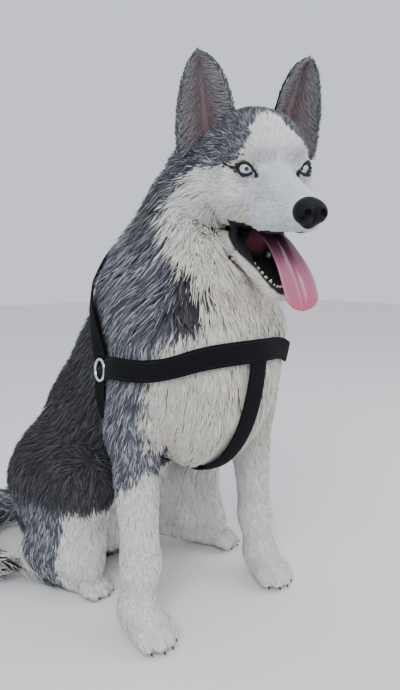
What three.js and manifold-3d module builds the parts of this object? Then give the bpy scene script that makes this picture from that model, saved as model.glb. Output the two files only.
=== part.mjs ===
// A Siberian husky that sits with its mouth open and its tongue out, in a black webbing
// harness, at life size. Millimetres, +Z up; the dog faces -Y and its left side is +X.
import * as THREE from "three";
import { mergeVertices } from "three/addons/utils/BufferGeometryUtils.js";
import Module from "manifold-3d";

const wasm = await Module();
wasm.setup();

const X = new THREE.Vector3(1, 0, 0);
const Z = new THREE.Vector3(0, 0, 1);
const rad = THREE.MathUtils.degToRad;
const at = (x, y, z) => new THREE.Vector3(x, y, z);
const mirrored = (p) => at(-p.x, p.y, p.z);

// Driving dimensions
const GAP = 0.3; // clearance between neighbouring pieces
const HEAD_AT = at(-3, -145, 584); // the point between the eyes
const HEAD_YAW = -21; // degrees, towards the dog's right
const HEAD_PITCH = 9; // degrees, nose down
const HEAD_ROLL = -3; // degrees, left side up
const EYE_HALF_SPAN = 34; // from the middle of the face to the middle of an eye
const EYE_RADIUS = 11.5;
const EAR_THICKNESS = 6;
const GAPE = 26; // degrees that the lower jaw is open
const JAW_HINGE = at(0, 60, -35);
const PAW_SPREAD = 13.4; // from one toe to the next
const STRAP_WIDTH = 28;
const STRAP_THICKNESS = 3;
const RING_RADIUS = 14;
const RING_WIRE = 2.2;
const RUFF_DEPTH = 5; // from the tips of the ruff down to its core
const TAIL_DEPTH = 14;
const LOCK_THICKNESS = 5;

// Joints of the legs and the middles of the paws
const SHOULDER = { right: at(-84, -34, 380), left: at(64, -38, 380) };
const ELBOW = { right: at(-104, 0, 268), left: at(98, -4, 268) };
const WRIST = { right: at(-110, -20, 92), left: at(110, -10, 92) };
const FORE_PAW = { right: at(-118, -48, 20), left: at(107, -44, 20) };
const FORE_HEADING = { right: at(0.08, -1, 0), left: at(-0.2, -0.98, 0) };
const HIP = { right: at(-108, 200, 150), left: at(18, 240, 140) };
const KNEE = { right: at(-126, 98, 172), left: at(88, 122, 148) };
const HOCK = { right: at(-170, 178, 42), left: at(46, 184, 42) };
const HIND_PAW = { right: at(-122, 104, 17), left: at(120, 92, 17) };

// A seeded draw from 0 to 1, so that every build is the same
function drawFrom(seed) {
  let state = seed;
  return () => {
    state = (state + 0x6d2b79f5) | 0;
    let t = Math.imul(state ^ (state >>> 15), 1 | state);
    t = (t + Math.imul(t ^ (t >>> 7), 61 | t)) ^ t;
    return ((t ^ (t >>> 14)) >>> 0) / 4294967296;
  };
}

// Fields: each gives the distance from a point to the surface of a form, negative inside

const egg = (centre, radii) => (p) => {
  const x = p.x - centre.x;
  const y = p.y - centre.y;
  const z = p.z - centre.z;
  const scaled = Math.hypot(x / radii.x, y / radii.y, z / radii.z);
  const slope = Math.hypot(x / radii.x ** 2, y / radii.y ** 2, z / radii.z ** 2);
  const least = Math.min(radii.x, radii.y, radii.z);
  return scaled < 1e-3 ? -least : (scaled * (scaled - 1)) / slope;
};

const taper = (a, b, radiusA, radiusB) => {
  const along = b.clone().sub(a);
  const length2 = along.lengthSq();
  return (p) => {
    const dx = p.x - a.x;
    const dy = p.y - a.y;
    const dz = p.z - a.z;
    const share = (dx * along.x + dy * along.y + dz * along.z) / length2;
    const t = Math.min(1, Math.max(0, share));
    const off = Math.hypot(dx - along.x * t, dy - along.y * t, dz - along.z * t);
    return off - (radiusA + (radiusB - radiusA) * t);
  };
};

// Joins forms with a soft crease of about the given width
const blend = (width, ...forms) => (p) => {
  let d = forms[0](p);
  for (let i = 1; i < forms.length; i++) {
    const e = forms[i](p);
    const h = Math.max(width - Math.abs(d - e), 0) / width;
    d = Math.min(d, e) - (h * h * width) / 4;
  }
  return d;
};

// Takes the second form out of the first, with a soft edge
const hollow = (width, form, tool) => (p) => {
  const d = form(p);
  const e = -tool(p);
  const h = Math.max(width - Math.abs(d - e), 0) / width;
  return Math.max(d, e) + (h * h * width) / 4;
};

// A form that is the same on both sides of the middle plane x = 0
const bothSides = (form) => (p) => form({ x: Math.abs(p.x), y: p.y, z: p.z });

function outward(field, p) {
  const e = 0.5;
  return at(
    field({ x: p.x + e, y: p.y, z: p.z }) - field({ x: p.x - e, y: p.y, z: p.z }),
    field({ x: p.x, y: p.y + e, z: p.z }) - field({ x: p.x, y: p.y - e, z: p.z }),
    field({ x: p.x, y: p.y, z: p.z + e }) - field({ x: p.x, y: p.y, z: p.z - e }),
  ).normalize();
}

// How far a ray from inside a form runs before it leaves it
function reach(field, from, direction, level = 0) {
  const p = from.clone();
  let run = 0;
  for (let i = 0; i < 60; i++) {
    const d = level - field(p);
    if (d < 0.02) break;
    run += d * 0.9;
    p.copy(from).addScaledVector(direction, run);
  }
  return run;
}

// The nearest point of a form's surface, raised by a height
function onSurface(field, p, height = 0) {
  const q = p.clone();
  for (let i = 0; i < 4; i++) q.addScaledVector(outward(field, q), -field(q));
  return q.addScaledVector(outward(field, q), height);
}

// Solids

function solidOf(geometry, matrix) {
  const bare = geometry.clone();
  bare.deleteAttribute("normal");
  bare.deleteAttribute("uv");
  if (matrix) bare.applyMatrix4(matrix);
  const merged = mergeVertices(bare, 1e-3);
  return new wasm.Manifold(
    new wasm.Mesh({
      numProp: 3,
      vertProperties: new Float32Array(merged.attributes.position.array),
      triVerts: new Uint32Array(merged.index.array),
    }),
  );
}

const join = (...solids) => solids.flat().reduce((a, b) => a.add(b));
const cut = (solid, ...tools) => tools.flat().reduce((a, b) => a.subtract(b), solid);
const largest = (solid) =>
  solid.decompose().reduce((a, b) => (a.volume() > b.volume() ? a : b));
const moved = (solid, matrix) => solid.transform(matrix.toArray());
const middleOf = (points) =>
  points.reduce((sum, p) => sum.add(p), at(0, 0, 0)).divideScalar(points.length);

// Rings of points, each joined to the next, closed by a middle point at each end
function skinOf(rings, first = middleOf(rings[0]), last = middleOf(rings.at(-1))) {
  const sides = rings[0].length;
  const points = [...rings.flat(), first, last];
  const faces = [];
  for (let r = 0; r + 1 < rings.length; r++) {
    for (let i = 0; i < sides; i++) {
      const a = r * sides + i;
      const b = r * sides + ((i + 1) % sides);
      faces.push(a, b, b + sides, a, b + sides, a + sides);
    }
  }
  const end = (rings.length - 1) * sides;
  for (let i = 0; i < sides; i++) {
    const next = (i + 1) % sides;
    faces.push(points.length - 2, next, i);
    faces.push(points.length - 1, end + i, end + next);
  }
  return solidOf(new THREE.BufferGeometry().setFromPoints(points).setIndex(faces));
}

// A curve that runs on straight past both of its ends
class Spine {
  constructor(...points) {
    this.curve =
      points.length > 2
        ? new THREE.CatmullRomCurve3(points)
        : new THREE.LineCurve3(points[0], points[1]);
    this.length = this.curve.getLength();
  }
  tangent(s) {
    return this.curve.getTangentAt(Math.min(1, Math.max(0, s / this.length)));
  }
  point(s) {
    const inside = Math.min(this.length, Math.max(0, s));
    const p = this.curve.getPointAt(inside / this.length);
    return p.addScaledVector(this.tangent(s), s - inside);
  }
  // A direction square to the spine, turned by an angle from the sideways one
  around(s, angle, sideways) {
    const t = this.tangent(s);
    const u = sideways.clone().addScaledVector(t, -sideways.dot(t)).normalize();
    const v = t.clone().cross(u);
    return u.multiplyScalar(Math.cos(angle)).addScaledVector(v, Math.sin(angle));
  }
}

// Flesh: the surface of a field, found from a spine inside it, with rings closer together
// towards both round ends
function flesh(spine, field, { sides, rings, grow = 0, sideways = X }) {
  const low = -reach(field, spine.point(0), spine.tangent(0).negate(), grow);
  const high = spine.length + reach(field, spine.point(spine.length), spine.tangent(spine.length), grow);
  const inset = 0.035;
  const made = [];
  for (let r = 0; r < rings; r++) {
    const t = inset + ((1 - 2 * inset) * r) / (rings - 1);
    const share = ((1 - Math.cos(Math.PI * t)) / 2) * 0.6 + t * 0.4;
    const s = low + (high - low) * share;
    const from = spine.point(s);
    made.push(
      Array.from({ length: sides }, (_, i) => {
        const direction = spine.around(s, (i * 2 * Math.PI) / sides, sideways);
        return from.clone().addScaledVector(direction, reach(field, from, direction, grow));
      }),
    );
  }
  return skinOf(made, spine.point(low), spine.point(high));
}

// A tube along points, with an oval section that may change along it
function tube(points, sides, steps, section, sideways = X) {
  const spine = new Spine(...points);
  const made = [];
  for (let r = 0; r <= steps; r++) {
    const s = (spine.length * r) / steps;
    const [wide, thick] = section(r / steps);
    const across = spine.around(s, 0, sideways);
    const up = spine.around(s, Math.PI / 2, sideways);
    made.push(
      Array.from({ length: sides }, (_, i) => {
        const angle = (i * 2 * Math.PI) / sides;
        return spine
          .point(s)
          .addScaledVector(across, wide * Math.cos(angle))
          .addScaledVector(up, thick * Math.sin(angle));
      }),
    );
  }
  return skinOf(made);
}

// A lock of the coat: flat and tapered, with its root sunk in the core of the coat. It lies
// along the coat, bends to one side and rises to the outline at its tip.
function lock(field, root, lie, { length, width, core, rise, sway, grow }) {
  const normal = outward(field, root);
  const along = lie.clone().addScaledVector(normal, -lie.dot(normal)).normalize();
  const across = along.clone().cross(normal);
  const stations = [
    { t: -0.06, wide: 0.8, under: -core - LOCK_THICKNESS, over: -core + 2 },
    { t: 0.42, wide: 1, under: -core - 2, over: -core * 0.45 + 2 },
    { t: 0.76, wide: 0.72, under: rise * 0.5 - core * 0.5, over: rise * 0.7 },
  ];
  const place = (t) =>
    root.clone().addScaledVector(along, t * length).addScaledVector(across, sway * t * t * length);
  const rings = stations.map(({ t, wide, under, over }) => {
    const foot = onSurface(field, place(t), under - grow);
    const half = (width / 2) * wide + grow;
    return [
      foot.clone().addScaledVector(across, half),
      foot.clone().addScaledVector(across, -half),
      onSurface(field, place(t), over + grow),
    ];
  });
  const tip = onSurface(field, place(1 + grow / length), rise);
  return skinOf(rings, middleOf(rings[0]), tip);
}

// Rows of locks round a spine, each row set between the locks of the row before it
function locksOf(spine, field, options) {
  const { start, end, rows, count, length, width, core, keep, seed, grow = 0 } = options;
  const { sideways = X, towards = 1 } = options;
  const draw = drawFrom(seed);
  const made = [];
  for (let r = 0; r < rows; r++) {
    for (let i = 0; i < count; i++) {
      const s = start + ((end - start) * (r + 0.5 * (draw() - 0.5))) / Math.max(1, rows - 1);
      const angle = ((i + 0.5 * (r % 2) + 0.4 * (draw() - 0.5)) * 2 * Math.PI) / count;
      const shape = { length: length * (0.85 + 0.3 * draw()), width: width * (0.85 + 0.3 * draw()) };
      const sway = 0.35 * (draw() - 0.5);
      const rise = 3 * draw();
      const from = spine.point(s);
      const direction = spine.around(s, angle, sideways);
      const root = from.addScaledVector(direction, reach(field, from, direction));
      if (!keep(root)) continue;
      const lie = spine.tangent(s).multiplyScalar(towards);
      made.push(lock(field, root, lie, { ...shape, core, rise, sway, grow }));
    }
  }
  return made;
}

// A block that fills all the space behind a plane
function behind(point, normal) {
  const size = 1600;
  const turn = new THREE.Quaternion().setFromUnitVectors(Z, normal);
  const middle = point.clone().addScaledVector(normal, -size / 2);
  const matrix = new THREE.Matrix4().compose(middle, turn, at(1, 1, 1));
  return solidOf(new THREE.BoxGeometry(size, size, size), matrix);
}

// What a solid has ahead of a plane, half a gap clear of it
function aheadOf(plane, solid, clear = GAP / 2) {
  return cut(solid, behind(plane.point.clone().addScaledVector(plane.normal, clear), plane.normal));
}
const plane = (point, normal) => ({ point, normal: normal.normalize() });
const flipped = (p) => ({ point: p.point, normal: p.normal.clone().negate() });
const GROUND = behind(at(0, 0, 0), Z);

// A mesh with a material, from a solid
function piece(name, solid, material) {
  const { vertProperties, triVerts, numProp } = largest(solid).getMesh();
  const count = vertProperties.length / numProp;
  const positions = new Float32Array(count * 3);
  for (let i = 0; i < count; i++) {
    positions.set(vertProperties.subarray(i * numProp, i * numProp + 3), i * 3);
  }
  const geometry = new THREE.BufferGeometry();
  geometry.setAttribute("position", new THREE.BufferAttribute(positions, 3));
  geometry.setIndex(new THREE.BufferAttribute(new Uint32Array(triVerts), 1));
  const mesh = new THREE.Mesh(geometry, material);
  mesh.name = name;
  return mesh;
}

const finish = (color, roughness, metalness = 0) =>
  new THREE.MeshStandardMaterial({ color, roughness, metalness, flatShading: true });
const WHITE_COAT = finish(0xd9d7d0, 0.9);
const GREY_COAT = finish(0x55585c, 0.9);
const DARK_COAT = finish(0x2f3136, 0.9);
const NOSE_LEATHER = finish(0x17181c, 0.35);
const EYE = finish(0xa9c4d6, 0.1);
const TONGUE = finish(0xd77f97, 0.4);
const WEBBING = finish(0x14161c, 0.8);
const STEEL = finish(0xb9bcc0, 0.3, 1);

// The head, in its own frame: the origin is between the eyes and the nose points along -Y

const headFrame = new THREE.Group();
headFrame.position.copy(HEAD_AT);
headFrame.rotation.set(rad(HEAD_PITCH), rad(HEAD_ROLL), rad(HEAD_YAW), "ZXY");
headFrame.updateMatrix();
const toHead = headFrame.matrix.clone().invert();

const eyeAt = at(EYE_HALF_SPAN, 7, 0);
const skull = blend(
  16,
  egg(at(0, 60, 14), at(68, 57, 59)), // the top of the head
  egg(at(17, 17, 19), at(30, 27, 20)), // brow
  egg(at(EYE_HALF_SPAN, 20, -4), at(22, 20, 15)), // the flesh round the eye
  egg(at(40, 40, -28), at(25, 44, 27)), // cheekbone
  egg(at(50, 84, -34), at(34, 42, 44)), // cheek and its coat
);
const muzzle = blend(
  12,
  taper(at(0, 0, -21), at(0, -70, -40), 27, 19),
  taper(at(17, 24, -49), at(8, -68, -50), 19, 13),
  taper(at(17, 24, -49), at(36, 54, -50), 19, 16),
  egg(at(13, -24, -54), at(18, 36, 18)), // hanging lip
);
const palate = egg(at(0, -16, -82), at(18, 78, 21));
const headField = hollow(6, bothSides(blend(14, skull, muzzle)), palate);
const napeField = blend(
  24,
  egg(at(-20, 104, -8), at(80, 58, 58)),
  egg(at(-24, 128, -58), at(96, 56, 62)),
);
const headSpine = new Spine(at(0, 100, -12), at(0, 40, -14), at(0, -20, -34), at(0, -72, -41));
const headForm = (grow) =>
  flesh(headSpine, blend(18, headField, napeField), { sides: 28, rings: 24, grow });

const eyeBall = (side, grow = 0) => {
  const ball = new THREE.SphereGeometry(EYE_RADIUS + grow, 12, 7);
  ball.rotateX(Math.PI / 2).translate(side * eyeAt.x, eyeAt.y, eyeAt.z);
  return solidOf(ball);
};

// The upper and lower lid of one eye: two thin rolls of skin over the ball
function lids(side) {
  const facing = at(0.45, -0.89, 0.04).normalize();
  const out = at(0.89, 0.45, 0.14).normalize();
  const up = facing.clone().cross(out).negate().normalize();
  const roll = (rise) => {
    const points = [];
    for (let i = 0; i <= 6; i++) {
      const t = -1 + i / 3;
      const p = facing.clone().multiplyScalar(0.5 + 0.5 * (1 - t * t));
      p.addScaledVector(out, t * 0.84).addScaledVector(up, rise * (1 - t * t) + 0.1 * t);
      p.normalize().multiplyScalar(EYE_RADIUS + 0.8).add(eyeAt);
      points.push(side < 0 ? mirrored(p) : p);
    }
    return tube(points, 4, 6, (t) => [2.2 + 0.6 * Math.sin(t * Math.PI), 2.4]);
  };
  return join(roll(0.8), roll(-0.72));
}

// A tooth: a cone from its root to its tip
function tooth(root, tip, radius) {
  const along = tip.clone().sub(root);
  const cone = new THREE.ConeGeometry(radius, along.length(), 4);
  const turn = new THREE.Quaternion().setFromUnitVectors(at(0, 1, 0), along.normalize());
  const middle = root.clone().add(tip).multiplyScalar(0.5);
  return solidOf(cone, new THREE.Matrix4().compose(middle, turn, at(1, 1, 1)));
}

// A row of teeth on both sides: incisors, a long canine and the cheek teeth behind it
function teeth({ front, back, gum, rise, canine }) {
  const made = [];
  for (const side of [-1, 1]) {
    for (let i = 0; i < 3; i++) {
      const root = at(side * (2 + i * 3.6), front + i * i * 0.9, gum);
      made.push(tooth(root, at(root.x, root.y - 1, gum + rise * 0.9), 2.2));
    }
    const corner = at(side * 13, front + 10, gum);
    made.push(tooth(corner, at(side * 14, front + 6, gum + rise * canine), 3.6));
    for (let i = 0; i < 4; i++) {
      const t = i / 3;
      const root = at(side * (13.5 + 7 * t), front + 24 + (back - front - 24) * t, gum);
      made.push(tooth(root, at(root.x, root.y - 1, gum + rise * (0.7 + 0.5 * t)), 4.4));
    }
  }
  return made;
}
const upperTeeth = teeth({ front: -72, back: -4, gum: -56, rise: -5, canine: 1.2 });

const noseField = bothSides(
  blend(
    5,
    egg(at(0, -82, -40), at(16, 15, 14)),
    egg(at(8, -87, -42), at(10, 12, 11)),
    egg(at(0, -84, -53), at(6, 9, 11)),
  ),
);
const noseSpine = new Spine(at(0, -80, -42), at(0, -88, -43));
const nose = (grow) => flesh(noseSpine, noseField, { sides: 14, rings: 8, grow });
const nostril = (side) => {
  const hole = new THREE.SphereGeometry(1, 7, 5).scale(3.6, 8, 4.4).rotateZ(side * 0.5);
  return solidOf(hole.translate(side * 9, -98, -41));
};

const jawTurn = new THREE.Matrix4()
  .makeTranslation(JAW_HINGE)
  .multiply(new THREE.Matrix4().makeRotationX(rad(GAPE)))
  .multiply(new THREE.Matrix4().makeTranslation(JAW_HINGE.clone().negate()));
const mandible = bothSides(
  blend(
    12,
    taper(at(33, 38, -77), at(10, -60, -87), 15, 11),
    taper(at(0, 40, -96), at(0, -62, -89), 17, 11),
  ),
);
const mouthFloor = egg(at(0, -8, -76), at(17, 64, 11));
const jawField = hollow(5, mandible, mouthFloor);
const jawSpine = new Spine(at(0, 48, -98), at(0, -60, -92));
const lowerTeeth = teeth({ front: -66, back: 4, gum: -80, rise: 9, canine: 1.7 });
const jawForm = (grow) =>
  moved(flesh(jawSpine, jawField, { sides: 18, rings: 12, grow }), jawTurn);

// The tongue lies along the jaw, over its tip and down in front of it
const tonguePath = [
  at(0, 22, -88),
  at(3, -8, -104),
  at(8, -34, -113),
  at(12, -50, -122),
  at(12, -62, -136),
  at(10, -70, -152),
];
const tongueForm = (grow) =>
  tube(tonguePath, 10, 10, (t) => {
    const wide = 12 + 7.5 * Math.sin(Math.min(1, t * 1.1) * Math.PI * 0.62);
    const round = Math.sqrt(Math.max(0.12, 1 - Math.max(0, (t - 0.8) / 0.2) ** 2));
    return [wide * round + grow, (5 - 1.5 * t) * (0.6 + 0.4 * round) + grow];
  });

// An ear: a cupped, pointed shell, open to the front
const EAR = {
  inner: [at(28, 50, 58), at(36, 52, 108), at(70, 64, 131)],
  outer: [at(90, 72, 22), at(99, 70, 88), at(74, 64, 131)],
  facing: at(0.38, -0.92, 0.05).normalize(),
  cup: 24,
};
function ear(side, grow = 0) {
  const inner = new THREE.QuadraticBezierCurve3(...EAR.inner);
  const outer = new THREE.QuadraticBezierCurve3(...EAR.outer);
  const rows = 9;
  const rings = [];
  for (let r = 0; r < rows; r++) {
    const v = r / (rows - 1);
    const depth = EAR.cup * (1 - v) ** 0.8 + 2;
    const layer = (count, edge, lift) =>
      Array.from({ length: count }, (_, c) => {
        const u = edge * (-1 + (2 * c) / (count - 1));
        const p = inner.getPoint(v).lerp(outer.getPoint(v), (u + 1) / 2);
        return p.addScaledVector(EAR.facing, lift - depth * (1 - u * u));
      });
    const back = layer(8, 1.02 + grow / 20, -grow - EAR_THICKNESS / 2);
    const front = layer(7, 0.94 + grow / 20, EAR_THICKNESS / 2 + grow).reverse();
    const loop = [...back, ...front];
    rings.push(side < 0 ? loop.map(mirrored) : loop.reverse());
  }
  return skinOf(rings);
}

// Body, in the dog's own frame

const trunk = blend(
  45,
  egg(at(-12, -22, 350), at(98, 106, 148)), // chest
  egg(at(-15, 88, 325), at(112, 122, 122)), // ribs
  egg(at(-28, 165, 240), at(112, 110, 112)), // loin
  egg(at(-45, 222, 135), at(118, 118, 120)), // pelvis
  egg(at(-50, 240, 70), at(112, 108, 78)), // rump
  egg(at(-10, 62, 452), at(80, 92, 80)), // withers
);
const upperArm = (side) =>
  taper(SHOULDER[side], SHOULDER[side].clone().lerp(ELBOW[side], 0.66), 55, 45);
const haunch = (side) =>
  taper(HIP[side], HIP[side].clone().lerp(KNEE[side], 0.3), 84, 76);
const trunkAndNeck = blend(
  34,
  taper(at(-14, 24, 430), at(4, 6, 548), 112, 72),
  egg(at(-6, -42, 430), at(88, 62, 76)), // the ruff over the breast
  trunk,
  upperArm("right"),
  upperArm("left"),
  haunch("right"),
  haunch("left"),
);
const trunkSpine = new Spine(
  at(-50, 240, 60),
  at(-42, 205, 150),
  at(-26, 140, 245),
  at(-16, 70, 335),
  at(-12, 12, 405),
  at(-10, -8, 450),
);
const neckSpine = new Spine(at(-12, 12, 405), at(-6, -6, 470), at(8, -40, 560));
const NECK_PLANE = plane(at(-10, -4, 445), at(0, -0.3, 0.95));
const HEAD_PLANE = plane(at(8, -35, 522), at(0.1, -0.45, 0.88));

const WAIST_PLANE = plane(at(-28, 150, 230), at(0.06, -0.5, 0.86));

const trunkForm = (grow) =>
  flesh(trunkSpine, trunkAndNeck, { sides: 28, rings: 25, grow });
const neckForm = (grow) => flesh(neckSpine, trunkAndNeck, { sides: 24, rings: 11, grow });

// The ruff: rows of locks round the neck, that end above the harness
const ruffLocks = (grow) =>
  locksOf(neckSpine, trunkAndNeck, {
    start: 124,
    end: 62,
    rows: 3,
    count: 9,
    length: 68,
    width: 72,
    core: RUFF_DEPTH,
    keep: (root) => root.z < 522 && root.y < 75,
    seed: 3,
    towards: -1,
    grow,
  });

// The four toes of a paw, each a row of two eggs, with the outer ones set back
function toes(paw, heading, height) {
  const across = Z.clone().cross(heading);
  return [-1.5, -0.5, 0.5, 1.5].map((i) => {
    const knuckle = paw.clone().addScaledVector(across, i * PAW_SPREAD);
    knuckle.addScaledVector(heading, 18 - 4.5 * i * i).setZ(height);
    const tip = knuckle.clone().addScaledVector(heading, 14).setZ(height - 8);
    return { field: taper(knuckle, tip, 11, 9), tip };
  });
}

// A claw: a short cone that points forward and down from a toe
function claw(toe, heading) {
  const root = toe.tip.clone().addScaledVector(heading, 2).setZ(toe.tip.z + 1);
  const tip = toe.tip.clone().addScaledVector(heading, 15).setZ(4);
  return tooth(root, tip, 3.4);
}

function foreLeg(side) {
  const heading = FORE_HEADING[side].normalize();
  const paw = FORE_PAW[side];
  const wrist = WRIST[side];
  const toe = toes(paw, heading, 21);
  const heel = paw.clone().addScaledVector(heading, -24).setZ(34);
  const limb = blend(
    22,
    taper(SHOULDER[side], ELBOW[side], 34, 37),
    taper(ELBOW[side], wrist, 36, 22.5),
    taper(wrist, heel, 22.5, 22),
    taper(heel, paw, 22, 19),
  );
  const field = blend(6, blend(12, limb, egg(paw, at(27, 25, 19))), ...toe.map((t) => t.field));
  const legSpine = new Spine(
    at(wrist.x, wrist.y, 60),
    wrist,
    ELBOW[side],
    SHOULDER[side].clone().lerp(ELBOW[side], 0.5),
  );
  const pawSpine = new Spine(
    paw.clone().addScaledVector(heading, -28).setZ(20),
    paw.clone().addScaledVector(heading, 14).setZ(15),
  );
  const ankle = plane(at(0, 0, 60), Z.clone());
  return {
    leg: (grow) =>
      aheadOf(ankle, flesh(legSpine, limb, { sides: 14, rings: 13, grow })),
    paw: (grow) =>
      join(
        aheadOf(flipped(ankle), flesh(pawSpine, field, { sides: 18, rings: 10, grow })),
        ...toe.map((t) => claw(t, heading)),
      ),
  };
}

function hindLeg(side) {
  const hock = HOCK[side];
  const paw = HIND_PAW[side];
  const knee = KNEE[side];
  const heading = paw.clone().sub(hock).setZ(0).normalize();
  const toe = toes(paw, heading, 18);
  const foldTop = knee.clone().lerp(paw, 0.25).setZ(knee.z - 30);
  const foldFoot = knee.clone().lerp(paw, 0.8).setZ(44);
  const field = blend(
    18,
    taper(HIP[side], knee, 66, 46),
    taper(knee, hock.clone().lerp(knee, 0.15), 42, 34),
    taper(foldTop, foldFoot, 36, 27), // the long coat where the shank folds on the foot
    taper(hock, paw, 27, 19),
  );
  const foot = blend(6, field, ...toe.map((t) => t.field));
  const shankPlane = plane(at(0, 0, knee.z - 32), Z.clone().negate());
  const anklePlane = plane(at(0, 0, 62), Z.clone().negate());
  const thighSpine = new Spine(HIP[side], knee);
  const shankSpine = new Spine(
    knee.clone().setZ(knee.z - 20),
    hock.clone().lerp(foldFoot, 0.5).setZ(60),
  );
  const footSpine = new Spine(
    hock.clone().setZ(26),
    paw.clone().addScaledVector(heading, 12).setZ(15),
  );
  return {
    thigh: (grow) =>
      aheadOf(flipped(shankPlane), flesh(thighSpine, field, { sides: 18, rings: 11, grow })),
    shank: (grow) =>
      aheadOf(
        shankPlane,
        aheadOf(flipped(anklePlane), flesh(shankSpine, field, { sides: 18, rings: 9, grow })),
      ),
    foot: (grow) =>
      join(
        aheadOf(anklePlane, flesh(footSpine, foot, { sides: 20, rings: 12, grow })),
        ...toe.map((t) => claw(t, heading)),
      ),
  };
}

// The tail lies on the ground, round the dog's right side
const tailSpine = new Spine(
  at(-60, 326, 64),
  at(-102, 378, 45),
  at(-164, 391, 40),
  at(-218, 359, 37),
  at(-240, 300, 35),
  at(-230, 246, 32),
  at(-208, 204, 30),
);
const tailRadius = (t) => 26 + 15 * Math.sin(Math.PI * Math.min(1, t * 1.02)) - 4 * t;
const tailField = (() => {
  const count = 10;
  const parts = [];
  for (let i = 0; i < count; i++) {
    const a = i / count;
    const b = (i + 1) / count;
    const start = tailSpine.point(a * tailSpine.length);
    parts.push(taper(start, tailSpine.point(b * tailSpine.length), tailRadius(a), tailRadius(b)));
  }
  return blend(8, ...parts);
})();
const tailCore = flesh(tailSpine, tailField, {
  sides: 10,
  rings: 13,
  grow: -TAIL_DEPTH,
  sideways: Z,
});

const tailLocks = locksOf(tailSpine, tailField, {
  start: 0.07 * tailSpine.length,
  end: 0.95 * tailSpine.length,
  rows: 7,
  count: 5,
  length: 76,
  width: 42,
  core: TAIL_DEPTH,
  keep: (root) => root.z > 9,
  seed: 11,
  sideways: Z,
});

// The tail is parted into three lengths by thin cuts
const tailCuts = [0.34, 0.67].map((t) => {
  const s = t * tailSpine.length;
  return plane(tailSpine.point(s), tailSpine.tangent(s));
});
const tailLengths = {
  base: (solid) => aheadOf(flipped(tailCuts[0]), solid),
  middle: (solid) => aheadOf(tailCuts[0], aheadOf(flipped(tailCuts[1]), solid)),
  tip: (solid) => aheadOf(tailCuts[1], solid),
};

// Harness: flat webbing over the coat, from guide points that are drawn onto its surface

const CHEST_FRONT = at(-3, -129, 374);
const SIDE_RING = { right: at(-124, 43, 340), left: at(102, 43, 340) };
const GIRTH_FRONT = at(-15, 14, 196);
const BACK_RING = at(-10, 112, 490);
const strapPaths = {
  chest: [
    SIDE_RING.right,
    at(-122, -12, 350),
    at(-98, -76, 362),
    at(-56, -114, 371),
    CHEST_FRONT,
    at(44, -112, 371),
    at(82, -74, 362),
    at(102, -12, 350),
    SIDE_RING.left,
  ],
  sternum: [CHEST_FRONT, at(-10, -126, 330), at(-15, -108, 270), at(-18, -62, 220), GIRTH_FRONT],
  girth: [
    SIDE_RING.right,
    at(-120, 50, 290),
    at(-92, 38, 225),
    GIRTH_FRONT,
    at(62, 38, 225),
    at(98, 50, 290),
    SIDE_RING.left,
  ],
  back: [
    SIDE_RING.right,
    at(-108, 78, 412),
    at(-62, 104, 470),
    BACK_RING,
    at(42, 104, 470),
    at(86, 78, 412),
    SIDE_RING.left,
  ],
};
const straps = {
  chest: { from: 0.02, to: 0.98, steps: 20, lift: 3 },
  back: { from: 0.05, to: 0.95, steps: 14, lift: 4 },
  girth: { from: 0.05, to: 0.95, steps: 16, lift: 2.5 },
  sternum: { from: 0.07, to: 0.92, steps: 7, lift: 1.5 },
};
function strap(name, grow = 0) {
  const { from, to, steps, lift } = straps[name];
  const curve = new THREE.CatmullRomCurve3(strapPaths[name]);
  const half = STRAP_WIDTH / 2 + grow;
  const under = lift - grow;
  const top = lift + STRAP_THICKNESS + grow;
  const rings = [];
  for (let i = 0; i <= steps; i++) {
    const t = from + ((to - from) * i) / steps;
    const middle = onSurface(trunkAndNeck, curve.getPointAt(t));
    const normal = outward(trunkAndNeck, middle);
    const along = curve.getTangentAt(t);
    const across = along.clone().cross(normal).normalize();
    const edge = (side, height) =>
      onSurface(trunkAndNeck, middle.clone().addScaledVector(across, side * half), height);
    rings.push([edge(1, under), edge(-1, under), edge(-1, top), edge(0, top), edge(1, top)]);
  }
  return skinOf(rings);
}

// A round ring of steel wire, pressed a little into the webbing that it joins
function ring(centre, grow = 0) {
  const normal = outward(trunkAndNeck, centre);
  const turn = new THREE.Quaternion().setFromUnitVectors(Z, normal);
  const seat = onSurface(trunkAndNeck, centre, STRAP_THICKNESS + RING_WIRE + 2);
  const matrix = new THREE.Matrix4().compose(seat, turn, at(1, 1, 1));
  return solidOf(new THREE.TorusGeometry(RING_RADIUS, RING_WIRE + grow, 5, 12), matrix);
}

// Assembly

const dog = new THREE.Group();
const inHead = new THREE.Group();
inHead.position.copy(HEAD_AT);
inHead.rotation.copy(headFrame.rotation);
dog.add(inHead);

const headInDog = moved(headForm(0), headFrame.matrix);
const headAndNeck = join(headInDog, neckForm(0));
const headPart = moved(aheadOf(HEAD_PLANE, headAndNeck), toHead);
const head = cut(
  join(headPart, lids(-1), lids(1), upperTeeth),
  eyeBall(-1, GAP),
  eyeBall(1, GAP),
  nose(GAP),
);
const headBulk = headForm(GAP);
const neckBulk = moved(neckForm(GAP), toHead);
inHead.add(piece("head", head, WHITE_COAT));
inHead.add(piece("nose", cut(nose(0), nostril(-1), nostril(1)), NOSE_LEATHER));
for (const [side, name] of [[-1, "right"], [1, "left"]]) {
  inHead.add(piece("eye_" + name, eyeBall(side), EYE));
  inHead.add(piece("ear_" + name, cut(ear(side), headBulk, neckBulk), DARK_COAT));
}
const jaw = cut(join(jawForm(0), moved(join(lowerTeeth), jawTurn)), headBulk, neckBulk, tongueForm(GAP));
inHead.add(piece("lower_jaw", jaw, WHITE_COAT));
inHead.add(piece("tongue", cut(tongueForm(0), headBulk, neckBulk), TONGUE));

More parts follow.
